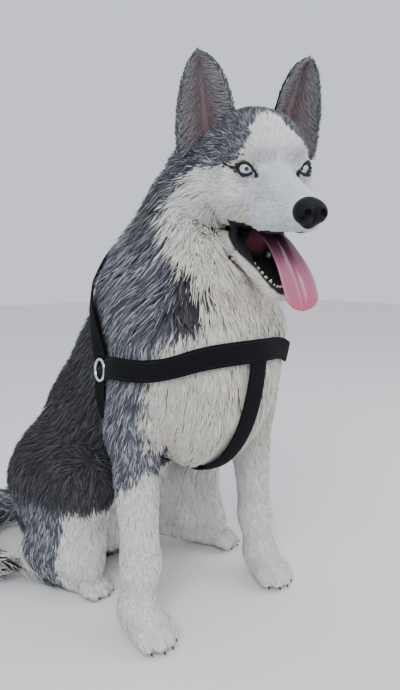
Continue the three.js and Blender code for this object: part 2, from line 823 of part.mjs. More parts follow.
const trunkBulk = trunkForm(GAP);
const underNeck = aheadOf(flipped(NECK_PLANE), trunkBulk, -GAP / 2);
const neckCore = aheadOf(NECK_PLANE, aheadOf(flipped(HEAD_PLANE), neckForm(-RUFF_DEPTH)));
const ruff = aheadOf(flipped(HEAD_PLANE), join(ruffLocks(0)));
const besideRuff = [
  underNeck,
  moved(jawForm(GAP), headFrame.matrix),
  moved(headBulk, headFrame.matrix),
  strap("back", GAP),
  strap("chest", GAP),
  ring(BACK_RING, GAP),
];
dog.add(piece("neck", cut(join(neckCore, ruff), besideRuff), GREY_COAT));
const torso = cut(aheadOf(flipped(NECK_PLANE), trunkForm(0)), GROUND);
dog.add(piece("chest", aheadOf(WAIST_PLANE, torso), GREY_COAT));
dog.add(piece("rump", aheadOf(flipped(WAIST_PLANE), torso), DARK_COAT));

const bulks = [trunkBulk, neckForm(GAP)];
for (const side of ["right", "left"]) {
  const fore = foreLeg(side);
  const hind = hindLeg(side);
  dog.add(piece("foreleg_" + side, cut(fore.leg(0), bulks), WHITE_COAT));
  dog.add(piece("forepaw_" + side, cut(fore.paw(0), GROUND), WHITE_COAT));
  dog.add(piece("thigh_" + side, cut(hind.thigh(0), trunkBulk, GROUND), DARK_COAT));
  dog.add(piece("shank_" + side, cut(hind.shank(0), trunkBulk, GROUND, hind.thigh(GAP)), WHITE_COAT));
  dog.add(
    piece(
      "hindpaw_" + side,
      cut(hind.foot(0), trunkBulk, GROUND, hind.shank(GAP), hind.thigh(GAP)),
      WHITE_COAT,
    ),
  );
  bulks.push(fore.leg(GAP));
}
const tail = cut(join(tailCore, tailLocks), trunkBulk, GROUND, hindLeg("right").foot(GAP));
for (const [name, parted] of Object.entries(tailLengths)) {
  dog.add(piece("tail_" + name, parted(tail), DARK_COAT));
}

const rings = { right: SIDE_RING.right, left: SIDE_RING.left, back: BACK_RING };
for (const [name, centre] of Object.entries(rings)) {
  dog.add(piece("ring_" + name, cut(ring(centre), bulks), STEEL));
  bulks.push(ring(centre, GAP));
}
for (const name of Object.keys(straps)) {
  dog.add(piece("strap_" + name, cut(strap(name), bulks), WEBBING));
}

// The origin is under the middle of the dog, on the ground
const whole = new THREE.Box3().setFromObject(dog, true);
dog.position.set(-(whole.min.x + whole.max.x) / 2, -(whole.min.y + whole.max.y) / 2, -whole.min.z);

export default dog;
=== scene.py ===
import bpy
import numpy as np
import openvdb
from mathutils import Matrix, Vector


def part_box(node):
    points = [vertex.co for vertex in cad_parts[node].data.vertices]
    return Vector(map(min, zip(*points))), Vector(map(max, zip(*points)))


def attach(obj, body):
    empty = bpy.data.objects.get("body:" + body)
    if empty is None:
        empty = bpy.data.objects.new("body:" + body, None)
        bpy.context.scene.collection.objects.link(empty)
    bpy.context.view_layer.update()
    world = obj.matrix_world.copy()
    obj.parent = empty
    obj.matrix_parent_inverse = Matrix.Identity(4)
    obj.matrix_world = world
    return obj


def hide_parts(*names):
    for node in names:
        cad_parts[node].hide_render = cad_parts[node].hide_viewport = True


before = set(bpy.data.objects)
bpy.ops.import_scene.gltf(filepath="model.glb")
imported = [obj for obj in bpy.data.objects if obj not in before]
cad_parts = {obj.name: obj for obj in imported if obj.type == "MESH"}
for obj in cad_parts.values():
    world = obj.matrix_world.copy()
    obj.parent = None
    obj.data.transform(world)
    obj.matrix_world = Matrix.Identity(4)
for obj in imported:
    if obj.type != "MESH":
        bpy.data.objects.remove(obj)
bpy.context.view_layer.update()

# The head's own frame: its origin is between the eyes, and it is turned a little to the
# dog's right, nose down. The two eyes of the solids say where the dog stands in the scene.
HEAD_AT = np.array([-3.0, -145.0, 584.0])
HEAD_YAW, HEAD_PITCH, HEAD_ROLL = np.radians([-21.0, 9.0, -3.0])
EYE = np.array([34.0, 7.0, 0.0])
EYE_RADIUS = 11.5


def turn_about(axis, angle):
    return np.array(Matrix.Rotation(angle, 3, axis))


HEAD_TURN = turn_about("Z", HEAD_YAW) @ turn_about("X", HEAD_PITCH) @ turn_about("Y", HEAD_ROLL)


def to_dog(p):
    return np.asarray(p, float) @ HEAD_TURN.T + HEAD_AT


def to_head(p):
    return (np.asarray(p) - HEAD_AT) @ HEAD_TURN


def middle_of(node):
    low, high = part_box(node)
    return np.array((low + high) / 2)


eyes_middle = (middle_of("eye_right") + middle_of("eye_left")) / 2
STANDS_AT = eyes_middle - to_dog([0.0, EYE[1], EYE[2]]) / 1000


def placed(p):
    return np.asarray(p) / 1000 + STANDS_AT


# The camera stands in front of the dog on its right side, at the height of its chest.
# Its lens gives the photograph's framing on an upright picture of 400 by 690.
CAMERA_AT = np.array([-506.0, -611.7, 476.0])
CAMERA_TURN = np.radians(-40.0)
CAMERA_DIP = np.radians(7.853)
camera_data = bpy.data.cameras.new("camera")
camera_data.sensor_width = 36.0
camera_data.lens = 36.0 * 580 / 690
camera_data.clip_start = 0.02
camera = bpy.data.objects.new("camera", camera_data)
camera.location = placed(CAMERA_AT)
camera.rotation_euler = (np.pi / 2 - CAMERA_DIP, 0, CAMERA_TURN)
bpy.context.scene.collection.objects.link(camera)
bpy.context.scene.camera = camera

# The skin is one closed hide over the bones and muscles of head, body, legs and tail. It is
# made of soft forms that run into each other, and lies under the outline by the depth of the
# coat. Each form gives the distance from points to its surface, negative inside.


def egg(centre, radii):
    c = np.array(centre, np.float32)
    r = np.array(radii, np.float32)

    def distance(p):
        q = (p - c) / r
        scaled = np.sqrt((q * q).sum(-1))
        q /= r
        slope = np.sqrt((q * q).sum(-1))
        return scaled * (scaled - 1) / np.maximum(slope, 1e-4)

    return distance


def taper(a, b, radius_a, radius_b):
    a = np.array(a, np.float32)
    along = np.array(b, np.float32) - a

    def distance(p):
        d = p - a
        t = np.clip(d @ along / (along @ along), 0, 1)
        off = d - t[..., None] * along
        return np.sqrt((off * off).sum(-1)) - (radius_a + (radius_b - radius_a) * t)

    return distance


def joined(d, e, width):
    """The distance to two forms that run into each other over the width given."""
    h = np.maximum(width - np.abs(d - e), 0) / width
    return np.minimum(d, e) - h * h * width / 4


def carved(d, e, width):
    """The distance to the first form with the second one taken out, its edge rounded."""
    h = np.maximum(width - np.abs(d + e), 0) / width
    return np.maximum(d, -e) + h * h * width / 4


def blend(width, *forms):
    def distance(p):
        d = forms[0](p)
        for form in forms[1:]:
            d = joined(d, form(p), width)
        return d

    return distance


def hollow(width, form, tool):
    def distance(p):
        return carved(form(p), tool(p), width)

    return distance


def folded(p):
    """The points with those on the right side moved over to the left."""
    return np.stack([np.abs(p[..., 0]), p[..., 1], p[..., 2]], -1)


def both_sides(form):
    def distance(p):
        return form(folded(p))

    return distance


def in_head(form):
    def distance(p):
        return form(to_head(p).astype(np.float32))

    return distance


skull = blend(
    16,
    egg((0, 60, 14), (68, 57, 59)),
    egg((17, 17, 19), (30, 27, 20)),
    egg((34, 20, -4), (22, 20, 15)),
    egg((40, 40, -28), (25, 44, 27)),
    egg((50, 84, -34), (34, 42, 44)),
)
muzzle = blend(
    12,
    taper((0, 0, -21), (0, -70, -40), 27, 19),
    taper((17, 24, -49), (8, -68, -50), 19, 13),
    taper((17, 24, -49), (36, 54, -50), 19, 16),
    egg((13, -24, -54), (18, 36, 18)),
)
palate = egg((0, -16, -82), (18, 78, 21))
face = hollow(4, both_sides(blend(14, skull, muzzle)), palate)
nape = blend(24, egg((-20, 104, -8), (80, 58, 58)), egg((-24, 128, -58), (96, 56, 62)))
head_form = in_head(blend(18, face, nape))

GAPE = np.radians(26.0)
JAW_HINGE = np.array([0.0, 60.0, -35.0])
JAW_TURN = turn_about("X", GAPE)


def closed_jaw(q):
    """Where points of the open lower jaw are when the mouth is shut."""
    return (q - JAW_HINGE) @ JAW_TURN + JAW_HINGE


def in_jaw(form):
    def distance(p):
        return form(closed_jaw(to_head(p)).astype(np.float32))

    return distance


mandible = both_sides(
    blend(
        12,
        taper((33, 38, -77), (10, -60, -87), 15, 11),
        taper((0, 40, -96), (0, -62, -89), 17, 11),
    )
)
mouth_floor = egg((0, -8, -76), (17, 64, 11))
jaw_form = in_jaw(hollow(3, mandible, mouth_floor))

SHOULDER = {"right": (-84, -34, 380), "left": (64, -38, 380)}
ELBOW = {"right": (-104, 0, 268), "left": (98, -4, 268)}
WRIST = {"right": (-110, -20, 92), "left": (110, -10, 92)}
FORE_PAW = {"right": (-118, -48, 20), "left": (107, -44, 20)}
FORE_HEADING = {"right": (0.08, -1, 0), "left": (-0.2, -0.98, 0)}
HIP = {"right": (-108, 200, 150), "left": (18, 240, 140)}
KNEE = {"right": (-126, 98, 172), "left": (88, 122, 148)}
HOCK = {"right": (-170, 178, 42), "left": (46, 184, 42)}
HIND_PAW = {"right": (-122, 104, 17), "left": (120, 92, 17)}


def between(a, b, share):
    return np.array(a, float) * (1 - share) + np.array(b, float) * share


def level(p, height):
    return np.array([p[0], p[1], height], float)


def unit(v):
    v = np.asarray(v, float)
    return v / np.linalg.norm(v, axis=-1, keepdims=True)


trunk_form = blend(
    45,
    egg((-12, -22, 350), (98, 106, 148)),
    egg((-15, 88, 325), (112, 122, 122)),
    egg((-28, 165, 240), (112, 110, 112)),
    egg((-45, 222, 135), (118, 118, 120)),
    egg((-50, 240, 70), (112, 108, 78)),
    egg((-10, 62, 452), (80, 92, 80)),
)
trunk_and_neck = blend(
    34,
    taper((-14, 24, 430), (4, 6, 548), 112, 72),
    egg((-6, -42, 430), (88, 62, 76)),
    trunk_form,
    *[taper(SHOULDER[s], between(SHOULDER[s], ELBOW[s], 0.66), 55, 45) for s in SHOULDER],
    *[taper(HIP[s], between(HIP[s], KNEE[s], 0.3), 84, 76) for s in HIP],
)

PAW_SPREAD = 13.4


def toes_of(paw, heading, height):
    across = np.cross((0, 0, 1), heading)
    made = []
    for i in (-1.5, -0.5, 0.5, 1.5):
        knuckle = level(paw + across * i * PAW_SPREAD + heading * (18 - 4.5 * i * i), height)
        tip = level(knuckle + heading * 14, height - 8)
        made.append((knuckle, tip))
    return made


legs = []
toe_tips = []
for side in ("right", "left"):
    heading = unit(FORE_HEADING[side])
    paw = np.array(FORE_PAW[side], float)
    heel = level(paw - heading * 24, 34)
    limb = blend(
        22,
        taper(SHOULDER[side], ELBOW[side], 34, 37),
        taper(ELBOW[side], WRIST[side], 36, 22.5),
        taper(WRIST[side], heel, 22.5, 22),
        taper(heel, paw, 22, 19),
    )
    toes = toes_of(paw, heading, 21)
    toe_tips += [(tip, heading) for _, tip in toes]
    paw_form = blend(12, limb, egg(paw, (27, 25, 19)))
    legs.append(blend(5, paw_form, *[taper(a, b, 11, 9) for a, b in toes]))
for side in ("right", "left"):
    hock, knee, paw = (np.array(j[side], float) for j in (HOCK, KNEE, HIND_PAW))
    heading = unit(level(paw - hock, 0))
    limb = blend(
        18,
        taper(HIP[side], knee, 66, 46),
        taper(knee, between(hock, knee, 0.15), 42, 34),
        taper(level(between(knee, paw, 0.25), knee[2] - 30), level(between(knee, paw, 0.8), 44), 36, 27),
        taper(hock, paw, 27, 19),
        egg((knee + hock + paw) / 3, (36, 40, 44)),
    )
    toes = toes_of(paw, heading, 18)
    toe_tips += [(tip, heading) for _, tip in toes]
    legs.append(blend(5, limb, *[taper(a, b, 11, 9) for a, b in toes]))

TAIL_LINE = np.array(
    [
        (-60, 326, 64),
        (-102, 378, 45),
        (-164, 391, 40),
        (-218, 359, 37),
        (-240, 300, 35),
        (-230, 246, 32),
        (-208, 204, 30),
    ],
    float,
)


def smooth_line(points, count):
    """A curve through the points, as a number of points in even shares."""
    points = np.asarray(points, float)
    ends = np.vstack([2 * points[0] - points[1], points, 2 * points[-1] - points[-2]])
    t = np.linspace(0, len(points) - 1, count)
    i = np.minimum(t.astype(int), len(points) - 2)
    f = (t - i)[:, None]
    p0, p1, p2, p3 = ends[i], ends[i + 1], ends[i + 2], ends[i + 3]
    return 0.5 * (
        2 * p1
        + (p2 - p0) * f
        + (2 * p0 - 5 * p1 + 4 * p2 - p3) * f * f
        + (3 * p1 - p0 - 3 * p2 + p3) * f**3
    )


TAIL_POINTS = 11
tail_line = smooth_line(TAIL_LINE, TAIL_POINTS)
tail_share = np.linspace(0, 1, TAIL_POINTS)
tail_radius = [26 + 15 * np.sin(np.pi * min(1, t * 1.02)) - 4 * t for t in tail_share]
tail_pieces = []
for i in range(TAIL_POINTS - 1):
    tail_pieces.append(taper(tail_line[i], tail_line[i + 1], tail_radius[i], tail_radius[i + 1]))
tail_form = blend(8, *tail_pieces)

# The coat's outline is in two parts, which meet at the neck: the body with legs and tail,
# and the head with its open jaw. A web closes each corner of the mouth, and the gullet, a
# plug painted black as shade, fills the throat behind it.
body_outline = blend(12, blend(14, trunk_and_neck, *legs), tail_form)
cheek_web = in_head(both_sides(taper((31, 40, -56), (30, 50, -94), 7, 7)))
shaded_gullet = in_head(egg((0, 77, -90), (42, 37, 38)))
head_outline = blend(8, head_form, jaw_form, cheek_web, shaded_gullet)

# How the coat lies: each guide is a place, the way the hair points there, how long it is,
# how deep the coat is over the skin, and how wide a tuft is. Those with a side are on both.
HEAD_GUIDES = [
    ((0, -70, -22), (0, 1, 0.1), 5, 1.2, 1.2),
    ((0, -35, -6), (0, 1, 0.4), 7, 1.8, 1.3),
    ((0, -6, 14), (0, 0.6, 0.8), 9, 2.6, 1.4),
    ((0, 25, 46), (0, 0.8, 0.6), 13, 4, 1.6),
    ((0, 70, 72), (0, 1, 0), 18, 6, 2.0),
    ((18, -8, 22), (0.35, 0.4, 0.85), 8, 2.4, 1.2),
    ((34, 4, 20), (0.5, 0.7, 0.5), 7, 2.2, 1.1),
    ((36, -3, 2), (0.7, 0.7, 0.1), 3.5, 1.4, 0.9),
    ((20, -50, -48), (0.15, 1, -0.2), 7, 1.6, 1.2),
    ((18, -20, -66), (0.1, 0.9, -0.35), 8, 1.6, 1.2),
    ((36, 30, -62), (0.2, 0.9, -0.4), 10, 2.2, 1.4),
    ((28, -10, -22), (0.3, 0.95, -0.1), 8, 1.8, 1.2),
    ((44, 4, -14), (0.4, 0.9, -0.2), 9, 2.2, 1.3),
    ((58, 30, -25), (0.3, 0.9, -0.35), 18, 6, 1.8),
    ((64, 62, -50), (0.15, 0.75, -0.6), 34, 12, 2.4),
    ((60, 45, 25), (0.25, 0.95, -0.1), 17, 5, 1.8),
    ((72, 88, 0), (0.1, 0.85, -0.5), 34, 12, 2.4),
    ((50, 100, 52), (0.1, 0.9, -0.4), 26, 9, 2.2),
    ((20, 20, -110), (0.1, 1, 0), 12, 3, 1.6),
    ((6, -50, -130), (0, 1, -0.1), 6, 1.6, 1.2),
    ((24, 10, -96), (0.2, 1, -0.1), 12, 3, 1.5),
]
BODY_GUIDES = [
    ((-20, 90, 520), (0, 0.5, -0.87), 48, 17, 2.8),
    ((-12, 130, 450), (0, 0.5, -0.85), 48, 17, 3.0),
    ((-20, 220, 330), (0, 0.55, -0.83), 42, 14, 3.0),
    ((-45, 320, 180), (0, 0.35, -0.93), 42, 14, 3.0),
    ((-50, 345, 90), (0, 0.3, -0.95), 44, 15, 3.0),
    ((-5, -135, 430), (0, -0.25, -0.97), 56, 19, 3.0),
    ((-8, -125, 340), (0, -0.1, -1), 52, 16, 3.0),
    ((-10, -90, 250), (0, 0.5, -0.85), 38, 12, 2.6),
    ((-15, 0, 205), (0, 1, 0), 28, 8, 2.4),
    ((-15, 90, 200), (0, 1, 0), 28, 8, 2.4),
    ((0, -70, 500), (0, -0.1, -1), 42, 13, 2.6),
]
SIDE_GUIDES = [
    ((110, 20, 400), (0.1, 0.45, -0.88), 36, 12, 2.6),
    ((118, 100, 330), (0, 0.6, -0.8), 38, 13, 2.8),
    ((118, 180, 240), (0, 0.5, -0.86), 40, 13, 2.8),
    ((140, 200, 160), (0, 0.1, -1), 36, 11, 2.6),
    ((115, 60, 250), (0, 0.7, -0.7), 34, 10, 2.6),
    ((108, -20, 320), (-0.1, 0.25, -0.97), 26, 8, 2.2),
    ((92, 10, 500), (0.2, 0.35, -0.9), 52, 18, 2.8),
    ((104, -36, 250), (0, 0.1, -1), 18, 5, 1.8),
    ((108, 34, 230), (0, 0.3, -0.95), 30, 8, 2.2),
    ((108, -34, 180), (0, 0, -1), 14, 3.5, 1.6),
    ((108, 14, 170), (0, 0.3, -0.95), 24, 6, 2.0),
    ((110, -40, 95), (0, 0, -1), 10, 2.5, 1.5),
    ((112, -50, 35), (0, -0.8, -0.6), 8, 2, 1.4),
    ((112, -80, 20), (0, -0.9, -0.4), 7, 1.6, 1.3),
    ((130, 70, 150), (0, 0, -1), 24, 5, 2.2),
    ((140, 130, 80), (0, 0.2, -1), 24, 4, 2.2),
    ((125, 110, 110), (0, 0.1, -1), 24, 4, 2.2),
    ((120, 80, 20), (0, -0.9, -0.4), 8, 2, 1.4),
]
TAIL_COAT = (58, 19, 3.0)


def guides():
    """All guides in the dog's frame. The last value says whether one belongs to the head."""
    made = []
    for (x, y, z), lie, length, deep, wide in HEAD_GUIDES:
        for side in (-1, 1) if x > 0 else (1,):
            at = to_dog([side * x, y, z])
            way = HEAD_TURN @ np.array([side * lie[0], lie[1], lie[2]], float)
            made.append((at, way, length, deep, wide, True))
    for (x, y, z), lie, length, deep, wide in BODY_GUIDES:
        made.append((np.array([x, y, z], float), np.array(lie, float), length, deep, wide, False))
    for (x, y, z), lie, length, deep, wide in SIDE_GUIDES:
        for side in (-1, 1):
            at = np.array([side * x - (12 if z > 190 else 0), y, z], float)
            way = np.array([side * lie[0], lie[1], lie[2]], float)
            made.append((at, way, length, deep, wide, False))
    for i in range(len(tail_line) - 1):
        along = unit(tail_line[i + 1] - tail_line[i])
        made.append((tail_line[i], along, *TAIL_COAT, False))
    return made


GUIDES = guides()
GUIDE_AT = np.array([g[0] for g in GUIDES], np.float32)
GUIDE_LIE = np.array([unit(g[1]) for g in GUIDES], np.float32)
GUIDE_COAT = np.array([g[2:5] for g in GUIDES], np.float32)
GUIDE_IN_HEAD = np.array([g[5] for g in GUIDES])
GUIDE_SPREAD = 60
POINTS_AT_ONCE = 40000


def guided(p, what, head_share):
    """What the guides say at the points: the nearest count most, head and body apart."""
    flat = p.reshape(-1, 3).astype(np.float32)
    share = head_share.reshape(-1, 1)
    made = np.zeros((len(flat), what.shape[1]), np.float32)
    for start in range(0, len(flat), POINTS_AT_ONCE):
        end = start + POINTS_AT_ONCE
        part = flat[start:end]
        found = []
        for some in (~GUIDE_IN_HEAD, GUIDE_IN_HEAD):
            at = GUIDE_AT[some]
            gap = (part * part).sum(-1)[:, None] + (at * at).sum(-1) - 2 * part @ at.T
            weight = (np.maximum(gap, 0) + GUIDE_SPREAD) ** -2
            found.append(weight @ what[some] / weight.sum(-1, keepdims=True))
        made[start:end] = found[0] + (found[1] - found[0]) * share[start:end]
    return made.reshape(*p.shape[:-1], what.shape[1])


def head_share_of(head, body):
    return np.clip((body - head + 12) / 24, 0, 1)


# An eye's opening is an almond between two lids, cut through the face down to the ball
EYE_FACING = unit([0.45, -0.89, 0.04])
EYE_OUT = unit([0.89, 0.45, 0.14])
EYE_UP = np.cross(EYE_FACING, EYE_OUT)
EYE_HALF_LENGTH, UPPER_LID, LOWER_LID, LID_THICK = 9.3, 4.7, 4.6, 2.0


def eye_coordinates(q):
    d = folded(q) - EYE
    return d @ EYE_OUT, d @ EYE_UP, d @ EYE_FACING


def eye_opening(q):
    u, v, w = eye_coordinates(q)
    arch = 1 - (u / EYE_HALF_LENGTH) ** 2
    across = np.maximum(v - (UPPER_LID * arch + 0.06 * u), -v - LOWER_LID * arch + 0.06 * u)
    return np.maximum(0.8 * across, -w).astype(np.float32)


def lid_ball(q):
    """The lids: a layer over the ball of the eye."""
    d = folded(q) - EYE
    return np.sqrt((d * d).sum(-1)) - (EYE_RADIUS + LID_THICK)


def skin_field(p):
    """The skin under the coat: the ground flattens it, and the eyes are opened in it."""
    q = to_head(p)
    head, body = head_outline(p), body_outline(p)
    ground = 1.0 - p[..., 2]
    coat_top = np.maximum(joined(head, body, 16), ground)
    coat_depth = guided(p, GUIDE_COAT[:, 1:2], head_share_of(head, body))[..., 0]
    with_lids = joined(coat_top + coat_depth, lid_ball(q), 5)
    return carved(with_lids, eye_opening(q), 1.6)


CELLS_AT_ONCE = 200000


class Lattice:
    """Distances on a grid: coarse far from the skin, worked out point by point near it."""

    def __init__(self, field, low, high, step, band, coarse=4):
        self.low = np.array(low, float)
        self.step = step
        blocks = np.ceil((np.array(high, float) - self.low) / (step * coarse)).astype(int)
        corner = np.stack(np.meshgrid(*[np.arange(n) for n in blocks], indexing="ij"), -1)
        middle = self.low + (corner + 0.5) * step * coarse - step / 2
        value = field(middle.astype(np.float32))
        near = np.argwhere(np.abs(value) < band + step * coarse * 0.9)
        wide = np.repeat(np.repeat(np.repeat(value, coarse, 0), coarse, 1), coarse, 2)
        self.grid = wide.astype(np.float32)
        cell = np.stack(np.meshgrid(*[np.arange(coarse)] * 3, indexing="ij"), -1)
        index = (near[:, None, :] * coarse + cell.reshape(-1, 3)).reshape(-1, 3)
        for start in range(0, len(index), CELLS_AT_ONCE):
            part = index[start : start + CELLS_AT_ONCE]
            found = field((self.low + part * step).astype(np.float32))
            self.grid[part[:, 0], part[:, 1], part[:, 2]] = found

    def surface(self, clip=None):
        grid = self.grid
        if clip is not None:
            index = np.stack(np.meshgrid(*[np.arange(n) for n in grid.shape], indexing="ij"), -1)
            grid = np.maximum(grid, clip(self.low + index * self.step)).astype(np.float32)
        volume = openvdb.FloatGrid()
        volume.copyFromArray(grid)
        points, quads = volume.convertToQuads(isovalue=0.0)
        return self.low + points.astype(float) * self.step, quads

    def at(self, p):
        place = (p - self.low) / self.step
        base = np.clip(place.astype(int), 0, np.array(self.grid.shape) - 2)
        f = place - base
        total = 0
        for corner in range(8):
            bit = np.array([corner >> 2 & 1, corner >> 1 & 1, corner & 1])
            i = base + bit
            share = np.where(bit, f, 1 - f).prod(-1)
            total = total + share * self.grid[i[..., 0], i[..., 1], i[..., 2]]
        return total

    def slope(self, p):
        e = self.step * 0.7
        axes = np.eye(3) * e
        return unit(np.stack([self.at(p + a) - self.at(p - a) for a in axes], -1) + 1e-9)


def make_mesh(name, points, faces):
    mesh = bpy.data.meshes.new(name)
    points = placed(points).astype(np.float32)
    faces = np.asarray(faces)
    mesh.vertices.add(len(points))
    mesh.vertices.foreach_set("co", points.ravel())
    sides = faces.shape[1]
    mesh.loops.add(faces.size)
    mesh.loops.foreach_set("vertex_index", faces.ravel().astype(np.int32))
    mesh.polygons.add(len(faces))
    mesh.polygons.foreach_set("loop_start", np.arange(0, faces.size, sides, dtype=np.int32))
    mesh.polygons.foreach_set("use_smooth", np.ones(len(faces), bool))
    mesh.update(calc_edges=True)
    mesh.validate()
    made = bpy.data.objects.new(name, mesh)
    bpy.context.scene.collection.objects.link(made)
    return made


def head_side(p):
    """Over 0 in the head: above a slanted plane through the throat, or in a ball at the chin."""
    q = to_head(p)
    off_chin = q - np.array([0.0, -8.0, -122.0])
    return np.maximum(
        0.894 * q[..., 2] - 0.447 * q[..., 1] + 116,
        52 - np.sqrt((off_chin * off_chin).sum(-1)),
    )


# The head has finer cells than the body. The two overlap by a few millimetres in the neck,
# under the ruff.
head_lattice = Lattice(skin_field, (-105, -250, 410), (140, 110, 690), 1.5, 10)
body_lattice = Lattice(skin_field, (-300, -175, -12), (190, 445, 690), 4.0, 30)
head_points, head_quads = head_lattice.surface(lambda p: -head_side(p) - 2)
body_points, body_quads = body_lattice.surface(lambda p: head_side(p) - 2)
skin_points = np.vstack([head_points, body_points])
skin_quads = np.vstack([head_quads, body_quads + len(head_points)])
skin = make_mesh("skin", skin_points, skin_quads[:, ::-1])


# The hair is white and cream below, and black to grey above. Colours are in linear light.
# A painted mesh has one at each of its points, from rules that describe the pattern.
def paint(made, colours):
    layer = made.data.color_attributes.new("coat", "FLOAT_COLOR", "POINT")
    full = np.ones((len(made.data.vertices), 4), np.float32)
    full[:, :3] = colours
    layer.data.foreach_set("color", full.ravel())


def surface_material(name, colour=None, roughness=0.6, metal=0.0, coat=0.0, specular=0.5):
    material = bpy.data.materials.new(name)
    material.use_nodes = True
    shader = material.node_tree.nodes["Principled BSDF"]
    shader.inputs["Roughness"].default_value = roughness
    shader.inputs["Metallic"].default_value = metal
    shader.inputs["Coat Weight"].default_value = coat
    shader.inputs["Coat Roughness"].default_value = 0.08
    shader.inputs["Specular IOR Level"].default_value = specular
    if colour is None:
        source = material.node_tree.nodes.new("ShaderNodeVertexColor")
        source.layer_name = "coat"
        material.node_tree.links.new(source.outputs["Color"], shader.inputs["Base Color"])
    else:
        shader.inputs["Base Color"].default_value = (*colour, 1)
    return material


WHITE = np.array([0.78, 0.78, 0.77])
CREAM = np.array([0.64, 0.59, 0.49])
SHADED_COOL_WHITE = np.array([0.60, 0.65, 0.72])
GREY = np.array([0.078, 0.086, 0.106])
PALE_GREY = np.array([0.50, 0.51, 0.53])
BLACK = np.array([0.028, 0.026, 0.029])
# The black of the lips and eye rims, also painted in the throat as its shade
LIP_AND_THROAT_SHADE = np.array([0.008, 0.009, 0.012])
MOUTH = np.array([0.11, 0.025, 0.035])


def ramp(value, start, end):
    t = np.clip((value - start) / (end - start), 0, 1)
    return t * t * (3 - 2 * t)


def mix(a, b, share):
    return a + (b - a) * share[..., None]


# Waves that run across each other give soft, uneven borders to the pattern of the coat
WAVE_COUNT = 8
WAVES = np.random.default_rng(4).normal(size=(WAVE_COUNT, 3))
WAVE_START = np.random.default_rng(5).uniform(0, 6.28, WAVE_COUNT)


def unevenness(p, size):
    """Between -1 and 1, in patches of about the size given."""
    total = 0
    for i in range(WAVE_COUNT):
        along = p @ (WAVES[i] / np.linalg.norm(WAVES[i])) / size * (1 + 0.35 * (i % 4))
        total = total + np.sin(6.28 * along + WAVE_START[i] + 1.3 * np.sin(p[..., i % 3] / size))
    return total / WAVE_COUNT


def near_line(u, v, a, b):
    """The distance in a plane from the points (u, v) to the stretch from a to b."""
    ax, ay = b[0] - a[0], b[1] - a[1]
    t = np.clip(((u - a[0]) * ax + (v - a[1]) * ay) / (ax * ax + ay * ay), 0, 1)
    return np.hypot(u - a[0] - t * ax, v - a[1] - t * ay)


# Behind this line, seen from the side, the body is dark: how far back it is at each height
NECK_HEIGHTS = [100, 150, 180, 216, 260, 300, 343, 384, 427, 459, 489, 513, 541, 566, 620]
NECK_BACK = [100, 56, 10, -32, -40, -48, -55, -72, -84, -82, -68, -40, -14, 10, 30]


def neck_line(p):
    """The line, further back on the dog's left side than on its right."""
    back = np.interp(p[..., 2], NECK_HEIGHTS, NECK_BACK)
    return back + 50 * ramp(p[..., 0], -10, 40) * ramp(p[..., 2], 120, 200)


def round_eye(q):
    """The black rim of an eye, the tear line at its inner corner, the line outward, and painted shade in
    the furrow of the brow.
    """
    u, v, w = eye_coordinates(q)
    tear = ramp(near_line(u, v, (-9, 0), (-19, -6)), 3.4, 1.2)
    outer = ramp(near_line(u, v, (10, -1), (24, 1)), 2.4, 1.0)
    # Painted shade in the crease of the brow above the inner corner
    furrow_shade = 0.35 * ramp(near_line(u, v, (-6, 9), (-17, 6)), 3.4, 0.8)
    rim = ramp(eye_opening(q), 3.6, 2.8)
    return np.maximum.reduce([tear, outer, furrow_shade, rim]) * ramp(np.abs(w), 22, 14)


def head_dark(p):
    """The cap, from the crown and the temples down to the outer corners of the eyes."""
    q = to_head(p)
    x, y, z = np.abs(q[..., 0]), q[..., 1], q[..., 2]
    wave = unevenness(p, 30) * 3
    cap_edge = np.interp(y, [-10, 4, 18, 44, 57, 69, 83, 99, 150], [28, 6, 1, 4, 4, -5, -22, -32, -52])
    cap = ramp(z + wave - cap_edge, -3, 4) * ramp(y, -8, 4)
    blaze_half = np.interp(z, [3, 21, 36, 50, 60], [45, 34, 27, 16, 4])
    blaze = ramp(blaze_half - x + wave, -4, 5) * ramp(y + 0.3 * wave, 30, 20)
    nape_line = np.interp(z, [-130, -97, -76, -52, -30, -10], [36, 60, 80, 94, 101, 112])
    nape_line = nape_line - 26 * ramp(q[..., 0], 20, 50)
    behind = ramp(y + wave - nape_line, -6, 6) * ramp(x + 1.5 * np.maximum(y - 95, 0), 58, 74)
    return np.maximum.reduce([cap * (1 - blaze), behind, round_eye(q)])


def white_legs(p):
    """The front of each thigh and all of the shanks and paws are white, as is the belly."""
    x, y, z = p[..., 0], p[..., 1], p[..., 2]
    wave = unevenness(p, 40) * 6
    right = ramp(z + wave, 156, 142) * ramp(y + wave - 0.28 * (140 - z), 98, 84)
    left = ramp(z + wave, 214, 190) * ramp(y + wave, 210, 180) * ramp(x, 10, 30)
    inner = ramp(z + wave, 196, 176) * ramp(y + wave, 150, 120) * ramp(np.abs(x + 8), 84, 70)
    tail_end = ramp(np.hypot(x + 212, y - 205) + wave, 62, 40) * ramp(z, 110, 90)
    return np.maximum.reduce([right, left, inner, tail_end])


def dark_share(p):
    """How dark the coat is at a place, from 0 where it is white to 1 in the black saddle."""
    body = ramp(p[..., 1] + unevenness(p, 46) * 9 - neck_line(p), -12, 14) * (1 - white_legs(p))
    body = body * ramp(np.abs(p[..., 0] + 8) + 1.5 * np.maximum(p[..., 1], 0), 36, 56)
    return np.where(head_side(p) > 2, head_dark(p), body)


